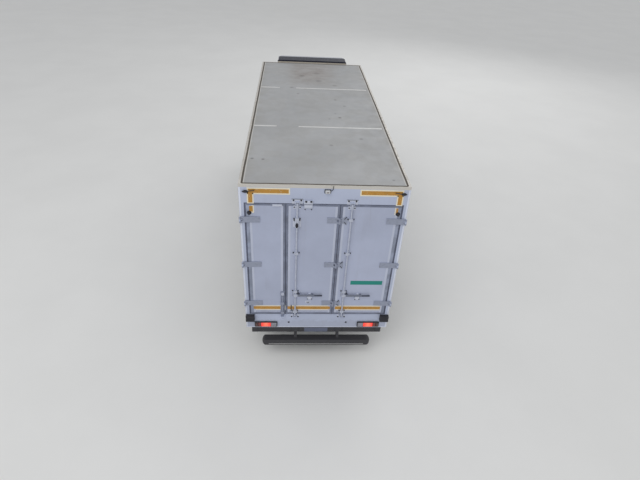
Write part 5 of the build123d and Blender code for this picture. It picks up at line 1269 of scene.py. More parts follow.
class TRUCK_OT_tyres(TruckPiece, bpy.types.Operator):
    """Replace the plain tyres with treaded ones"""

    bl_idname = "truck.tyres"
    bl_label = "Tyres"

    # half the section, from the bead to the shoulder
    WALL = ((-0.080, 0.226), (-0.096, 0.232), (-0.101, 0.246), (-0.106, 0.262), (-0.112, 0.300), (-0.1125, 0.325),
            (-0.108, 0.352), (-0.105, 0.362), (-0.103, 0.366), (-0.101, 0.376), (-0.098, 0.388), (-0.088, 0.3985))
    GROOVES = (-0.052, -0.018, 0.018, 0.052)
    FRONT_X = 0.98
    REAR_X = (0.793, 1.047)

    def build(self, scene):
        for family, wheel, axle, middles in (("tyre_front_", "wheel_front_", FRONT_AXLE, (self.FRONT_X,)),
                                             ("tyres_rear_", "wheel_rear_", REAR_AXLE, self.REAR_X)):
            for side_name, side in SIDES:
                node = family + side_name
                model = self.tyre(scene.truck_sizes, "rear" in node)
                piece = at_places(model, [(side * x, axle, WHEEL_RADIUS) for x in middles])
                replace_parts(finished(piece, node + "_treaded", "tyre", wheel + side_name, angle=28), node)

    def tyre(self, sizes, drive):
        """A tyre about the origin: its section is spun round the axle, then the shoulders get their blocks."""
        outer, depth = WHEEL_RADIUS, sizes.tread_depth
        half = 0.005 if drive else 0.0065
        section = [*self.WALL, (-0.080, outer - 0.0008)]
        for middle in self.GROOVES:
            section += [(middle - half, outer), (middle - half + 0.0015, outer - depth),
                        (middle + half - 0.0015, outer - depth), (middle + half, outer)]
        section += [(0.080, outer - 0.0008), *((-x, r) for x, r in reversed(self.WALL))]
        clear()
        bpy.ops.mesh.primitive_circle_add(vertices=len(section))
        obj = bpy.context.object
        for vertex, (x, radius) in zip(obj.data.vertices, section):
            vertex.co = (x, 0, -radius)
        edit(obj, "SELECT")
        steps = sizes.tread_blocks * 2
        bpy.ops.mesh.spin(steps=steps, angle=2 * pi, center=(0, 0, 0), axis=(1, 0, 0))
        bpy.ops.mesh.select_all(action="SELECT")
        bpy.ops.mesh.remove_doubles(threshold=0.0002)
        bpy.ops.mesh.normals_make_consistent(inside=False)
        self.cut_blocks(obj, steps, drive, depth)
        clear()
        return obj

    def cut_blocks(self, obj, steps, drive, depth):
        """Sinks every second step of the shoulders, and of the middle ribs on a drive tyre."""
        def sunk(middle, normal):
            radius = (middle.y ** 2 + middle.z ** 2) ** 0.5
            if radius < WHEEL_RADIUS - 0.012 or abs(normal.x) > 0.6:
                return False
            turn = (atan2(middle.y, middle.z) / (2 * pi) % 1.0 * steps) % 2
            if abs(middle.x) > 0.056:
                return turn < 1
            return drive and 0.022 < abs(middle.x) < 0.05 and radius > WHEEL_RADIUS - 0.002 and turn >= 1

        pick(obj, sunk)
        bpy.ops.mesh.extrude_region_shrink_fatten(TRANSFORM_OT_shrink_fatten={"value": -depth * 0.75})


class TRUCK_OT_cooling_unit(TruckPiece, bpy.types.Operator):
    """Detail the refrigeration unit: bezel, vents, latches, and the trunking down the front wall"""

    bl_idname = "truck.cooling_unit"
    bl_label = "Cooling Unit"

    INLET_HALF, INLET_LOW, INLET_HIGH = 0.56, 2.9, 3.36
    VENT_HEIGHTS = (2.98, 3.04, 3.10, 3.16, 3.22, 3.28, 3.34)
    CLIP_PITCH = 0.5

    def build(self, scene):
        low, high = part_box("fridge_unit")
        strip = bar((-0.862, high.y - 0.0005, ROOF_TOP + 0.001), (0.862, high.y + 0.001, high.z - 0.034), 0.0004, 1)
        finished(strip, "unit_back_strip", "unit_back")
        self.bezel(low.y)
        self.sides()
        self.trunking(low.z, high.y)

    def bezel(self, face):
        """Rounded frame and upright bars in front of the inlet."""
        half, bottom, top = self.INLET_HALF, self.INLET_LOW, self.INLET_HIGH
        front = face - 0.006
        parts = [bar((-half - 0.03, front, z - 0.015), (half + 0.03, front + 0.03, z + 0.015), 0.006, 3)
                 for z in (bottom - 0.01, top + 0.01)]
        parts.append(both(bar((half, front, bottom - 0.02), (half + 0.03, front + 0.03, top + 0.02), 0.006, 3)))
        upright = bar((-0.373, front + 0.012, bottom), (-0.361, front + 0.024, top), 0.003)
        finished([*parts, in_row(upright, (0.1835, 0, 0), 5)], "unit_bezel", "black_plastic")
        seam = bar((-0.70, front + 0.004, 2.862), (0.70, front + 0.012, 2.866), 0.001)
        heads = in_row(bolt((-0.66, face + 0.001, 2.83), 0.009, 0.008, "-y"), (0.22, 0, 0), 7)
        finished([seam, heads], "unit_seam", "dark_steel")

    def sides(self):
        """Louvres and quarter-turn latches on the casing's sides."""
        louvres = [prism([(0.848, z), (0.858, z - 0.022), (0.862, z - 0.022), (0.851, z + 0.004)], "y", -2.40, -2.20)
                   for z in self.VENT_HEIGHTS]
        latches = []
        for z in (2.86, 3.48):
            for y in (-2.42, -2.22):
                latches += [bar((0.848, y - 0.018, z - 0.03), (0.858, y + 0.018, z + 0.03), 0.004, 3),
                            drum((0.860, y, z), 0.011, 0.008, "x", 12, 0.002)]
        finished(both(louvres), "unit_louvres", "black_plastic")
        finished(both(latches), "unit_latches", "black_plastic")

    def trunking(self, top, back):
        """Rigid trunking for pipes and cables down the front wall, with its clips."""
        front = back - 0.062
        finished(bar((-0.055, front, 1.02), (0.055, back, top + 0.004), 0.012, 3), "front_trunking", "white_plastic")
        clip = bar((-0.075, front - 0.004, 1.14), (0.075, back, 1.165), 0.003)
        heads = domes([(x, front - 0.003, 1.1525) for x in (0.066, -0.066)], 0.006, "-y")
        finished([in_row(part, (0, 0, self.CLIP_PITCH), 4) for part in (clip, heads)], "trunking_clips",
                 "aluminium_rail")


class TRUCK_OT_load_space(TruckPiece, bpy.types.Operator):
    """Line the load space: lamps, kick plates, load rails and fan guards"""

    bl_idname = "truck.load_space"
    bl_label = "Load Space"

    # inner face of the front wall, how far the rails run back from it, and where the lamps are
    WALL = edge("box_front_wall", "y", 1)
    LENGTH = 6.0
    LAMPS = (0.2, 2.6)
    RAILS = (1.88, 2.4)
    FANS = (-0.43, 0.0, 0.43)
    # the way the evaporator's fans face, down and back
    SLOPE = Vector((0, 160, -300)).normalized()
    GUARD_RINGS = (0.03, 0.05, 0.07, 0.09, 0.112)
    BLADES = 5

    def build(self, scene):
        front, back = self.WALL, self.WALL + self.LENGTH
        bases = [bar((-0.24, y - 0.06, CEILING - 0.012), (0.24, y + 0.06, CEILING), 0.004) for y in self.LAMPS]
        covers = [bar((-0.225, y - 0.048, CEILING - 0.042), (0.225, y + 0.048, CEILING - 0.008), 0.014, 4)
                  for y in self.LAMPS]
        finished(bases, "ceiling_lamp_bases", "white_plastic")
        finished(covers, "ceiling_lamp_covers", "lamp_lens")
        plates = [bar((INNER_X - 0.003, front + 0.02, FLOOR_TOP), (INNER_X, back, FLOOR_TOP + 0.3), 0.0012)]
        plates += [hollowed(bar((INNER_X - 0.022, front + 0.03, z - 0.035), (INNER_X, back, z + 0.035), 0.004),
                            (-1, 0, 0), 0.02, 0.012) for z in self.RAILS]
        heads = [in_row(dome((INNER_X - 0.0025, front + 0.06, FLOOR_TOP + 0.275), 0.006, "-x"), (0, 0.2, 0), 30)]
        heads += [in_row(dome((INNER_X - 0.021, front + 0.09, z + up), 0.005, "-x"), (0, 0.3, 0), 20)
                  for z in self.RAILS for up in (-0.025, 0.025)]
        finished(both(plates), "wall_rails", "aluminium_floor")
        finished(both(heads), "wall_rivets", "aluminium_rail")
        for name, level, reach in (("ceiling_coving", CEILING, -0.04), ("floor_coving", FLOOR_TOP, 0.04)):
            corner = [(INNER_X, level), (INNER_X, level + reach), (INNER_X - 0.04, level)]
            finished(both(prism(corner, "y", front, FRAME_BACK - 0.03)), name, "white_plastic")
        self.fans()

    def fans(self):
        """A guard of rings and spokes, a hub and five blades in each recess of the evaporator."""
        guard = []
        for radius in self.GUARD_RINGS:
            clear()
            bpy.ops.mesh.primitive_torus_add(major_radius=radius, minor_radius=0.0022, major_segments=32,
                                             minor_segments=6)
            guard.append(bpy.context.object)
        for index in range(6):
            angle = pi / 3 * index
            guard.append(tube([(r * cos(angle), r * sin(angle), 0) for r in (0.026, 0.117)], 0.0025, False))
        fan = [drum((0, 0, -0.022), 0.026, 0.03, "z", 18, 0.003)]
        for index in range(self.BLADES):
            blade = turned(bar((0.02, -0.022, -0.0015), (0.102, 0.022, 0.0015), 0.001), "x", 32)
            blade.location = (0, 0, -0.024)
            fan.append(turned(settle(blade), "z", 360 / self.BLADES * index))
        for parts, name in ((guard, "fan_guards"), (fan, "fan_blades")):
            part = joined(parts)
            part.rotation_euler = self.SLOPE.to_track_quat("Z", "Y").to_euler()
            part.location = Vector((0, self.WALL + 0.27, CEILING - 0.25)) + self.SLOPE * 0.034
            finished(at_places(settle(part), [(x, 0, 0) for x in self.FANS]), name, "black_plastic")


class TRUCK_OT_cab_outside(TruckPiece, bpy.types.Operator):
    """Trim the cab: rubbers, wipers, handles, lamps, a bare plate, step treads and mirror glass"""

    bl_idname = "truck.cab_outside"
    bl_label = "Cab Outside"

    # the handle's place along the door and its height
    HANDLE = (-3.12, 1.39)
    # x of each wiper's pivot and tip, their height and rise, and the height at which the glass starts
    WIPERS = ((-0.62, 0.02), (0.08, 0.72))
    WIPER_Z, WIPER_RISE, GLASS_FOOT = 1.60, 0.10, 1.612
    # middle and radius of each reflector
    REFLECTORS = ((0.765, 0.062), (0.905, 0.052))

    def build(self, scene):
        finished([edging("cab_glass", (0, -1, 0.3), 0.012), edging("cab_glass", (0, 1, 0), 0.010)],
                 "screen_rubbers", "black_rubber", "cab")
        for side_name, side in SIDES:
            door = "cab_door_" + side_name
            ring = edging("cab_door_glass_" + side_name, (side, 0, 0), 0.009)
            finished(ring, door + "_window_rubber", "black_rubber", door)
            self.handle(door, side, *self.HANDLE)
        parts = [part for ends in self.WIPERS for part in self.wiper(*ends)]
        finished(parts, "wipers", "black_plastic", "cab")
        self.headlamps()
        self.indicators()
        front = edge("front_bumper", "y", 0)
        plate = hollowed(bar((-0.24, front - 0.006, 0.385), (0.24, front + 0.004, 0.515), 0.003), (0, -1, 0), 0.006,
                         0.0015)
        screws = domes([(x, front - 0.004, 0.5) for x in (0.13, -0.13)], 0.007, "-y")
        finished([plate, screws], "front_plate", "white_plastic")
        treads = []
        for z in (0.36, 0.69):
            treads += [bar((0.955, -3.945, z), (1.105, -3.715, z + 0.004), 0.0015),
                       in_row(bar((0.965, -3.935, z + 0.003), (0.973, -3.725, z + 0.007), 0.001), (0.016, 0, 0), 9)]
        finished(both(treads), "step_treads", "black_rubber")
        glass = prism([(1.228, -4.0575), (1.383, -4.0316), (1.383, -4.0286), (1.228, -4.0545)], "z", 1.60, 1.94, 0.001)
        rim = prism([(1.222, -4.0575), (1.389, -4.0297), (1.389, -4.0287), (1.222, -4.0565)], "z", 1.594, 1.946, 0.0005)
        finished(both(glass), "mirror_panes", "mirror_glass", "cab")
        finished(both(rim), "mirror_rims", "black_rubber", "cab")

    def handle(self, door, side, y, z):
        """A pull handle in a shallow dish, and the lock beside it."""
        skin = surface(door, (side * 2, y, z), (-side, 0, 0)).x
        dish = bar((skin - side * 0.004, y - 0.085, z - 0.032), (skin + side * 0.002, y + 0.085, z + 0.032), 0.002)
        finished(hollowed(dish, (side, 0, 0), 0.006, 0.004), door + "_handle_dish", "black_plastic", door)
        grip = tube([(skin, y - 0.07, z), (skin + side * 0.03, y - 0.06, z), (skin + side * 0.032, y + 0.04, z),
                     (skin, y + 0.07, z)], 0.010)
        lock = drum((skin + side * 0.001, y + 0.105, z - 0.03), 0.011, 0.006, "x", 16, 0.002)
        finished([grip, lock], door + "_handle", "black_plastic", door)

    def wiper(self, pivot, tip):
        """An arm with its blade resting on the windscreen."""
        def on_glass(share, lift):
            x = pivot + (tip - pivot) * share
            z = self.WIPER_Z + self.WIPER_RISE * share
            node = "cab_shell" if z < self.GLASS_FOOT else "cab_glass"
            return surface(node, (x, -6, z), (0, 1, 0)) - Vector((0, lift, 0))

        base = on_glass(0, 0.0)
        return [drum(base + Vector((0, -0.012, -0.006)), 0.020, 0.024, "y", 16, 0.004),
                tube([base + Vector((0, -0.02, -0.006)), on_glass(0.4, 0.022), on_glass(0.72, 0.018)], 0.006),
                tube([on_glass(0.25, 0.006), on_glass(0.6, 0.007), on_glass(1.0, 0.006)], 0.0055)]

    def headlamps(self):
        """A clear cover over a dark bowl with two reflectors on each side."""
        def outer_face(middle, normal):
            return normal.y < -0.2 or (normal.x * middle.x > 0 and abs(normal.x) > 0.5 and abs(middle.x) > 0.75)

        for name, look, wall in (("headlamp_covers", "lamp_lens", 0.003), ("headlamp_shells", "black_plastic", 0.004)):
            piece = copy_of("headlamps")
            edit(piece)
            pick(piece, outer_face)
            if name == "headlamp_covers":
                bpy.ops.mesh.select_all(action="INVERT")
            bpy.ops.mesh.delete(type="FACE")
            clear()
            modify(piece, "SOLIDIFY", thickness=wall, offset=-1)
            finished(piece, name, look)
        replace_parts(piece, "headlamps")
        bowls, bulbs = [], []
        low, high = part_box("headlamps")
        level = (low.z + high.z) / 2
        for x, radius in self.REFLECTORS:
            front = surface("headlamps", (x, -6, level), (0, 1, 0)).y
            bowl = drum((x, front + 0.026, level), radius, 0.036, "y", 28, 0, 0.55)
            edit(bowl)
            pick(bowl, lambda middle, normal: normal.y < -0.99)
            bpy.ops.mesh.inset(thickness=0.004, depth=0)
            bpy.ops.mesh.extrude_region_move(TRANSFORM_OT_translate={"value": (0, 0.028, 0)})
            bpy.ops.transform.resize(value=(0.45, 1, 0.45))
            clear()
            bowls.append(bowl)
            bulbs.append(dome((x, front + 0.036, level), radius * 0.3, "-y", 1.0, 12))
        finished(both(bowls), "headlamp_bowls", "lamp_mirror")
        finished(both(bulbs), "headlamp_bulbs", "glass")

    def indicators(self):
        """Amber corner lamps on the cab and small repeaters on its doors' pillars."""
        corner = turned(bar((-0.055, -0.012, -0.045), (0.055, 0.008, 0.045), 0.008, 3), "z", 40)
        corner.location = surface("cab_shell", (1.02, -6, 1.22), (0, 1, 0)) + Vector((0.002, 0.004, 0))
        skin = surface("cab_shell", (2, -3.98, 1.30), (-1, 0, 0)).x
        repeater = bar((skin - 0.004, -4.005, 1.28), (skin + 0.012, -3.955, 1.31), 0.005, 3)
        finished(both([settle(corner), repeater]), "indicators", "amber_lens", "cab")


# how fine a stuffed form is, how long its cover is blown up and how far a point may move
VOXEL = 0.012
CLOTH_FRAMES = 20
MOST_SWELL = 0.013


def stuffed(obj):
    """Blows a form up like a sewn cover over foam: no point moves further than MOST_SWELL."""
    modify(obj, "REMESH", mode="VOXEL", voxel_size=VOXEL)
    start = [vertex.co.copy() for vertex in obj.data.vertices]
    only(obj)
    cloth = obj.modifiers.new("Cloth", "CLOTH")
    cloth.settings.quality = 5
    cloth.settings.use_pressure = True
    cloth.settings.uniform_pressure_force = 4
    cloth.settings.effector_weights.gravity = 0
    scene = bpy.context.scene
    for step in range(1, CLOTH_FRAMES + 1):
        scene.frame_set(step)
    only(obj)
    bpy.ops.object.modifier_apply(modifier=cloth.name)
    scene.frame_set(1)
    for vertex, home in zip(obj.data.vertices, start):
        move = vertex.co - home
        if move.length > MOST_SWELL:
            vertex.co = home + move * (MOST_SWELL / move.length)
    return modify(obj, "SUBSURF", levels=1, render_levels=1)


class TRUCK_OT_seats(TruckPiece, bpy.types.Operator):
    """Upholster the three seats with stuffed cushions and sewn channels"""

    bl_idname = "truck.seats"
    bl_label = "Seats"

    # name, middle, width against the model's, and height of what the base stands on
    PLACES = (("driver", -0.6, 1.0, CAB_FLOOR), ("passenger", 0.6, 1.0, CAB_FLOOR), ("middle", 0.0, 0.955, TUNNEL_TOP))
    HALF = 0.224
    # the long seams' distance from the middle, how wide a groove is and how fast it fades
    BOLSTER = 0.155
    SEAM_WIDTH = 0.007
    FADE = 2.718

    def build(self, scene):
        models = {}
        # side outline, axis across the channels, their places, and the way into the foam
        for part, outline, axis, rows, inward in (
                ("cushion", [(-3.466, 1.388), (-3.466, 1.474), (-2.994, 1.446), (-2.994, 1.366)], "y",
                 (-3.34, -3.23, -3.12), (0, 0, -1)),
                ("back", [(-3.010, 1.425), (-3.076, 1.452), (-2.912, 2.112), (-2.846, 2.098)], "z",
                 (1.62, 1.76, 1.90), (0, 1, 0))):
            models[part] = stuffed(prism(outline, "x", -self.HALF, self.HALF, 0.022))
            self.channels(models[part], "xyz".index(axis), rows, Vector(inward))
        for name, x, width, floor in self.PLACES:
            for part, model in models.items():
                piece = copied(model, (x, 0, 0))
                for vertex in piece.data.vertices:
                    vertex.co.x = x + (vertex.co.x - x) * width
                finished(piece, f"{name}_seat_{part}", "seat_fabric", "cab", angle=60)
                if part == "cushion":
                    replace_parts(piece, "seats")
            self.base(name, x, width, floor)
        for model in models.values():
            only(model)
            bpy.ops.object.delete()

    def channels(self, obj, row, places, inward):
        """Sewn channels across the middle, between two long seams that mark the side bolsters."""
        def groove(deepest, distance):
            return deepest * pow(self.FADE, -(distance / self.SEAM_WIDTH) ** 2)

        for vertex in obj.data.vertices:
            if vertex.normal.dot(inward) > -0.35:
                continue
            depth = groove(0.007, abs(abs(vertex.co.x) - self.BOLSTER))
            if abs(vertex.co.x) < self.BOLSTER:
                depth = max(depth, groove(0.006, min(abs(vertex.co[row] - place) for place in places)))
            vertex.co += inward * depth

    def base(self, name, x, width, floor):
        """Pan, runners and side cover under a seat, and its belt buckle."""
        half = 0.19 * width
        pan = bar((x - half - 0.02, -3.45, 1.345), (x + half + 0.02, -3.0, 1.372), 0.008, 3)
        box = bar((x - half, -3.40, floor + 0.002), (x + half, -3.02, 1.35), 0.012, 3)
        shell = prism([(-2.988, 1.41), (-2.83, 2.06), (-2.824, 2.055), (-2.98, 1.405)], "x", x - half, x + half, 0.002)
        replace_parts(finished([pan, box, shell], name + "_seat_base", "dark_plastic", "cab"), "seats")
        middle = x + (half + 0.028) * (-1 if x > 0 else 1)
        buckle = bar((middle - 0.008, -3.06, 1.36), (middle + 0.008, -3.03, 1.50), 0.005, 3)
        finished(buckle, name + "_seat_buckle", "black_plastic", "cab")


class TRUCK_OT_cab_inside(TruckPiece, bpy.types.Operator):
    """Fit the dashboard, controls, visors and mats inside the cab"""

    bl_idname = "truck.cab_inside"
    bl_label = "Cab Inside"

    DIAL_Z = 1.50
    # middle of each dial against the driver, and its radius
    DIALS = ((-0.10, 0.052), (0.10, 0.052), (0, 0.030))
    # middle of each pedal against the driver, and its width
    PEDALS = ((-0.13, 0.055), (0, 0.06), (0.13, 0.045))
    VENTS = (-0.93, -0.27, 0.27, 0.93)

    def build(self, scene):
        outline = [(-3.99, 1.585), (-3.90, 1.665), (-3.865, 1.655), (-3.86, 1.60), (-3.87, 1.54), (-3.90, 1.54)]
        cowl = prism(outline, "x", DRIVER_X - 0.20, DRIVER_X + 0.20, 0.012)
        finished(cowl, "dial_cowl", "dark_plastic", "cab")
        self.dials()
        self.vents()
        self.controls()
        roof = surface("cab_shell", (0.48, -3.88, 2.0), (0, 0, 1)).z
        visor = turned(bar((0.26, -0.07, -0.009), (0.70, 0.07, 0.009), 0.008, 3), "x", 12)
        visor.location = (0, -3.88, roof - 0.03)
        pivot = tube([(0.24, -3.93, roof + 0.004), (0.24, -3.93, roof - 0.03), (0.40, -3.93, roof - 0.04)], 0.005)
        finished(both([settle(visor), pivot]), "sun_visors", "dark_plastic", "cab")
        mat = bar((0.45, -3.86, CAB_FLOOR), (0.98, -3.46, CAB_FLOOR + 0.007), 0.003)
        ribs = in_row(bar((0.49, -3.84, CAB_FLOOR + 0.006), (0.95, -3.828, CAB_FLOOR + 0.01), 0.002), (0, 0.03, 0), 12)
        finished(both([mat, ribs]), "floor_mats", "black_rubber", "cab")

    def dash_face(self, x, z):
        """How far back the dashboard reaches at a place."""
        return surface("dashboard", (x, -3.5, z), (0, -1, 0)).y

    def dials(self):
        """Two large dials and a small one, each with nine marks and a hand."""
        rims, faces, marks = [], [], []
        for shift, radius in self.DIALS:
            x = DRIVER_X + shift
            centre = Vector((x, self.dash_face(x, self.DIAL_Z) + 0.004, self.DIAL_Z))
            rims.append(drum(centre, radius + 0.006, 0.012, "y", 28, 0.003))
            faces.append(drum(centre + Vector((0, 0.007, 0)), radius, 0.003, "y", 28, 0.001))
            for index in range(9):
                angle = radians(-130 + 32.5 * index)
                marks.append(tube([centre + Vector((r * sin(angle), 0.0095, r * cos(angle)))
                                   for r in (radius * 0.74, radius * 0.92)], 0.0012, False, 1))
            hand = (0, 0.011, 0), (-radius * 0.5, 0.011, radius * 0.45)
            marks.append(tube([centre + Vector(end) for end in hand], 0.0015, False, 1))
        finished(rims, "dial_rims", "dark_plastic", "cab")
        finished(faces, "dial_faces", "dial_face", "cab")
        finished(marks, "dial_marks", "white_plastic", "cab")

    def vents(self):
        """Louvred air outlets, a row of switches and a bare stowage slot."""
        parts = []
        for x in self.VENTS:
            y = self.dash_face(x, 1.47)
            surround = bar((x - 0.065, y - 0.004, 1.435), (x + 0.065, y + 0.010, 1.505), 0.005, 3)
            parts += [hollowed(surround, (0, 1, 0), 0.008, 0.009),
                      in_row(bar((x - 0.055, y, 1.447), (x + 0.055, y + 0.008, 1.450), 0.001), (0, 0, 0.0118), 4)]
        finished(parts, "dash_vents", "black_plastic", "cab")
        y = self.dash_face(0, 1.45)
        slot = hollowed(bar((-0.095, y - 0.004, 1.425), (0.095, y + 0.008, 1.48), 0.004), (0, 1, 0), 0.006, 0.008)
        keys = in_row(bar((-0.09, y - 0.002, 1.395), (-0.062, y + 0.008, 1.413), 0.003), (0.0305, 0, 0), 6)
        box = bar((0.42, y - 0.004, 1.40), (0.80, y + 0.006, 1.52), 0.012, 3)
        finished([slot, keys, box], "dash_switches", "black_plastic", "cab")

    def controls(self):
        """Gear lever with its boot, hand brake, three pedals and two stalks."""
        def above_tunnel(*points):
            return [(x, y, TUNNEL_TOP + z) for x, y, z in points]

        boot = drum(*above_tunnel((-0.27, -3.62, 0.02)), 0.05, 0.06, "z", 20, 0.006, 0.4)
        lever = tube(above_tunnel((-0.27, -3.62, 0.03), (-0.275, -3.61, 0.14), (-0.29, -3.58, 0.25)), 0.007)
        knob = dome(*above_tunnel((-0.29, -3.58, 0.245)), 0.024, "z", 1.2, 16)
        brake = tube(above_tunnel((-0.25, -3.50, 0.004), (-0.25, -3.48, 0.05), (-0.25, -3.36, 0.12)), 0.011)
        finished([boot, lever, knob, brake], "gear_lever", "black_plastic", "cab")
        pedals = []
        for shift, width in self.PEDALS:
            x = DRIVER_X + shift
            pedal = turned(bar((x - width / 2, -0.004, -0.045), (x + width / 2, 0.006, 0.045), 0.004, 3), "x", -24)
            pedal.location = (0, -3.93, CAB_FLOOR + 0.12)
            pedals += [settle(pedal), tube([(x, -3.938, CAB_FLOOR + 0.13), (x, -3.99, CAB_FLOOR + 0.2),
                                            (x, -4.06, CAB_FLOOR + 0.24)], 0.006)]
        finished(pedals, "pedals", "black_rubber", "cab")
        stalks = each_side(lambda side: tube([(DRIVER_X + side * reach, y, z) for reach, y, z in (
            (0.03, -3.79, 1.56), (0.10, -3.775, 1.575), (0.17, -3.765, 1.585))], 0.007))
        finished(stalks, "column_stalks", "black_plastic", "cab")


class TRUCK_OT_wheels(TruckPiece, bpy.types.Operator):
    """Fit hub bolts, valves and balance weights to the wheels, which turn with them"""

    bl_idname = "truck.wheels"
    bl_label = "Wheels"

    # axle, hub end, hub radius and the rim's outer edge
    WHEELS = {"front": (FRONT_AXLE, 1.100, 0.050, 1.073), "rear": (REAR_AXLE, 1.030, 0.068, 1.140)}
    HUB_BOLTS = 8
    VALVE_TURN = radians(72)

    def build(self, scene):
        for row, (axle, end, hub, rim) in self.WHEELS.items():
            for side_name, side in SIDES:
                body = f"wheel_{row}_{side_name}"
                way = "x" if side == LEFT else "-x"

                def spoke(x, radius, angle, side=side, axle=axle):
                    return side * x, axle + radius * cos(angle), WHEEL_RADIUS + radius * sin(angle)

                parts = [bolt(spoke(end - 0.001, hub - 0.013, pi / 4 * index + pi / 8), 0.0055, 0.006, way)
                         for index in range(self.HUB_BOLTS)]
                parts.append(dome((side * (end - 0.002), axle, WHEEL_RADIUS), hub * 0.45, way, 0.35, 16))
                finished(parts, body + "_hub_bolts", "zinc_steel", body)
                stem = [spoke(rim - back, radius, self.VALVE_TURN)
                        for back, radius in ((0.045, 0.222), (0.045, 0.205), (0.020, 0.196))]
                finished(tube(stem, 0.0055), body + "_valve", "black_rubber", body)
                weight = bar((-0.004, -0.03, -0.007), (0.004, 0.03, 0.007), 0.003)
                weight.location = (side * (rim - 0.010), axle - 0.012, WHEEL_RADIUS - 0.226)
                finished(weight, body + "_weight", "zinc_steel", body)


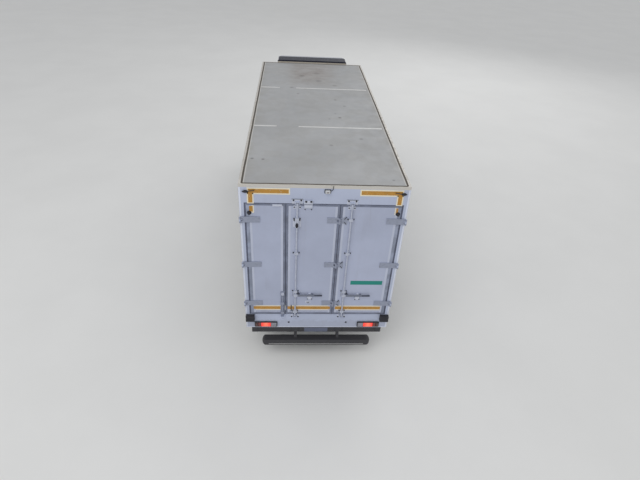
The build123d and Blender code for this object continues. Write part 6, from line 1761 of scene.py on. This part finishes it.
class TRUCK_OT_chassis(TruckPiece, bpy.types.Operator):
    """Fit bolts, clamps, pipes, straps and caps to the chassis"""

    bl_idname = "truck.chassis"
    bl_label = "Chassis"

    CROSS_MEMBERS = (-3.9, -2.9, -2.2, -1.45, -0.75, 0.0, 0.75, 1.3, 2.25, 2.95, 3.6)
    RAIL_FACE = 0.419
    BOLT_ROWS = (0.745, 0.885)
    FILLER = (-0.96, -1.15)
    PIPE_HEIGHTS = (0.80, 0.825, 0.85)
    REFLECTORS = (-0.70, 0.20, 1.00)
    GUARD_HEIGHTS = (0.45, 0.64, 0.83)

    def build(self, scene):
        heads = [bolt((self.RAIL_FACE, y + shift, z), 0.011, 0.010, "x")
                 for y in self.CROSS_MEMBERS for z in self.BOLT_ROWS for shift in (-0.05, 0.05)]
        finished(both(heads), "rail_bolts", "dark_steel")
        self.tanks()
        self.pipes()
        self.sides()

    def tanks(self):
        """Straps and filler cap of the fuel tank, the silencer's clamps and the battery lid's catches."""
        low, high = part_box("fuel_tank")
        straps = []
        for y in (low.y + 0.2, high.y - 0.2):
            straps += [bar((low.x - 0.004, y - 0.02, low.z + 0.045), (low.x + 0.004, y + 0.02, high.z - 0.045), 0.003),
                       bar((low.x + 0.05, y - 0.02, high.z - 0.004), (high.x - 0.01, y + 0.02, high.z + 0.004), 0.003)]
        finished(straps, "tank_straps", "dark_steel")
        x, y = self.FILLER
        cap = drum((x, y, high.z + 0.012), 0.042, 0.022, "z", 24, 0.005)
        ribs = [turned(bar((x - 0.036, y - 0.005, high.z + 0.022), (x + 0.036, y + 0.005, high.z + 0.030), 0.003), "z",
                       turn, (x, y, 0)) for turn in (0, 90)]
        finished([cap, *ribs], "filler_cap", "black_plastic")
        low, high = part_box("silencer")
        parts = [bolt((high.x - 0.004, low.y + along, (low.z + high.z) / 2), 0.012, 0.012, "x")
                 for along in (0.25, 0.75, 1.25)]
        low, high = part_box("battery_box")
        parts += [bar((high.x - 0.001, y - 0.015, high.z - 0.11), (high.x + 0.012, y + 0.015, high.z - 0.03), 0.004)
                  for y in (low.y + 0.1, high.y - 0.1)]
        lid = bar((low.x - 0.004, low.y - 0.004, high.z - 0.06), (high.x + 0.004, high.y + 0.004, high.z - 0.054),
                  0.002)
        finished([*parts, lid], "battery_catches", "zinc_steel")

    def pipes(self):
        """Rigid brake and fuel lines clipped along the inside of the left rail."""
        lines = [tube([(0.335, -2.1, z), (0.335, -0.6, z), (0.335, 0.9, z), (0.325, 1.35, z)], 0.005, False)
                 for z in self.PIPE_HEIGHTS]
        clips = in_row(bar((0.325, -2.02, 0.788), (0.352, -1.99, 0.862), 0.004), (0, 0.42, 0), 8)
        finished(lines, "brake_lines", "zinc_steel")
        finished(clips, "line_clips", "black_plastic")

    def sides(self):
        """Amber reflectors and end caps on the side guards."""
        face = edge("side_guards", "x", 1)
        backs = [bar((face - 0.002, y - 0.06, 0.622), (face + 0.004, y + 0.06, 0.658), 0.003) for y in self.REFLECTORS]
        lenses = [bar((face + 0.002, y - 0.055, 0.626), (face + 0.009, y + 0.055, 0.654), 0.004, 3)
                  for y in self.REFLECTORS]
        caps = [bar((face - 0.024, 1.184, z - 0.045), (face + 0.002, 1.196, z + 0.045), 0.003)
                for z in self.GUARD_HEIGHTS]
        finished(both(backs), "side_reflector_bases", "black_plastic")
        finished(both(lenses), "side_reflectors", "amber_lens")
        finished(both(caps), "side_guard_caps", "black_plastic")


STEPS = (TRUCK_OT_finishes, TRUCK_OT_stage, TRUCK_OT_roof, TRUCK_OT_rear_frame, TRUCK_OT_rear_doors,
         TRUCK_OT_rear_lamps, TRUCK_OT_tyres, TRUCK_OT_cooling_unit, TRUCK_OT_load_space, TRUCK_OT_cab_outside,
         TRUCK_OT_seats, TRUCK_OT_cab_inside, TRUCK_OT_wheels, TRUCK_OT_chassis)


class VIEW3D_PT_truck(bpy.types.Panel):
    """The truck's pieces and settings"""

    bl_label = "Refrigerated Truck"
    bl_space_type = "VIEW_3D"
    bl_region_type = "UI"
    bl_category = "Truck"

    def draw(self, context):
        column = self.layout.column(align=True)
        for operator in STEPS:
            column.operator(operator.bl_idname)
        for name, settings in GROUPS.items():
            box = self.layout.box()
            for setting in settings.__annotations__:
                box.prop(getattr(context.scene, name), setting)


GROUPS = {"truck_colours": TruckColours, "truck_sizes": TruckSizes, "truck_stage": TruckStage}
CLASSES = (*GROUPS.values(), *STEPS, VIEW3D_PT_truck)


def register():
    """Makes the settings, operators and panel known to Blender."""
    for part in CLASSES:
        bpy.utils.register_class(part)
    for name, settings in GROUPS.items():
        setattr(bpy.types.Scene, name, PointerProperty(type=settings))


def unregister():
    """Takes them away again."""
    for name in GROUPS:
        delattr(bpy.types.Scene, name)
    for part in reversed(CLASSES):
        bpy.utils.unregister_class(part)


def main():
    """Runs every step in order."""
    register()
    for operator in STEPS:
        family, name = operator.bl_idname.split(".")
        getattr(getattr(bpy.ops, family), name)()


if __name__ == "__main__":
    main()
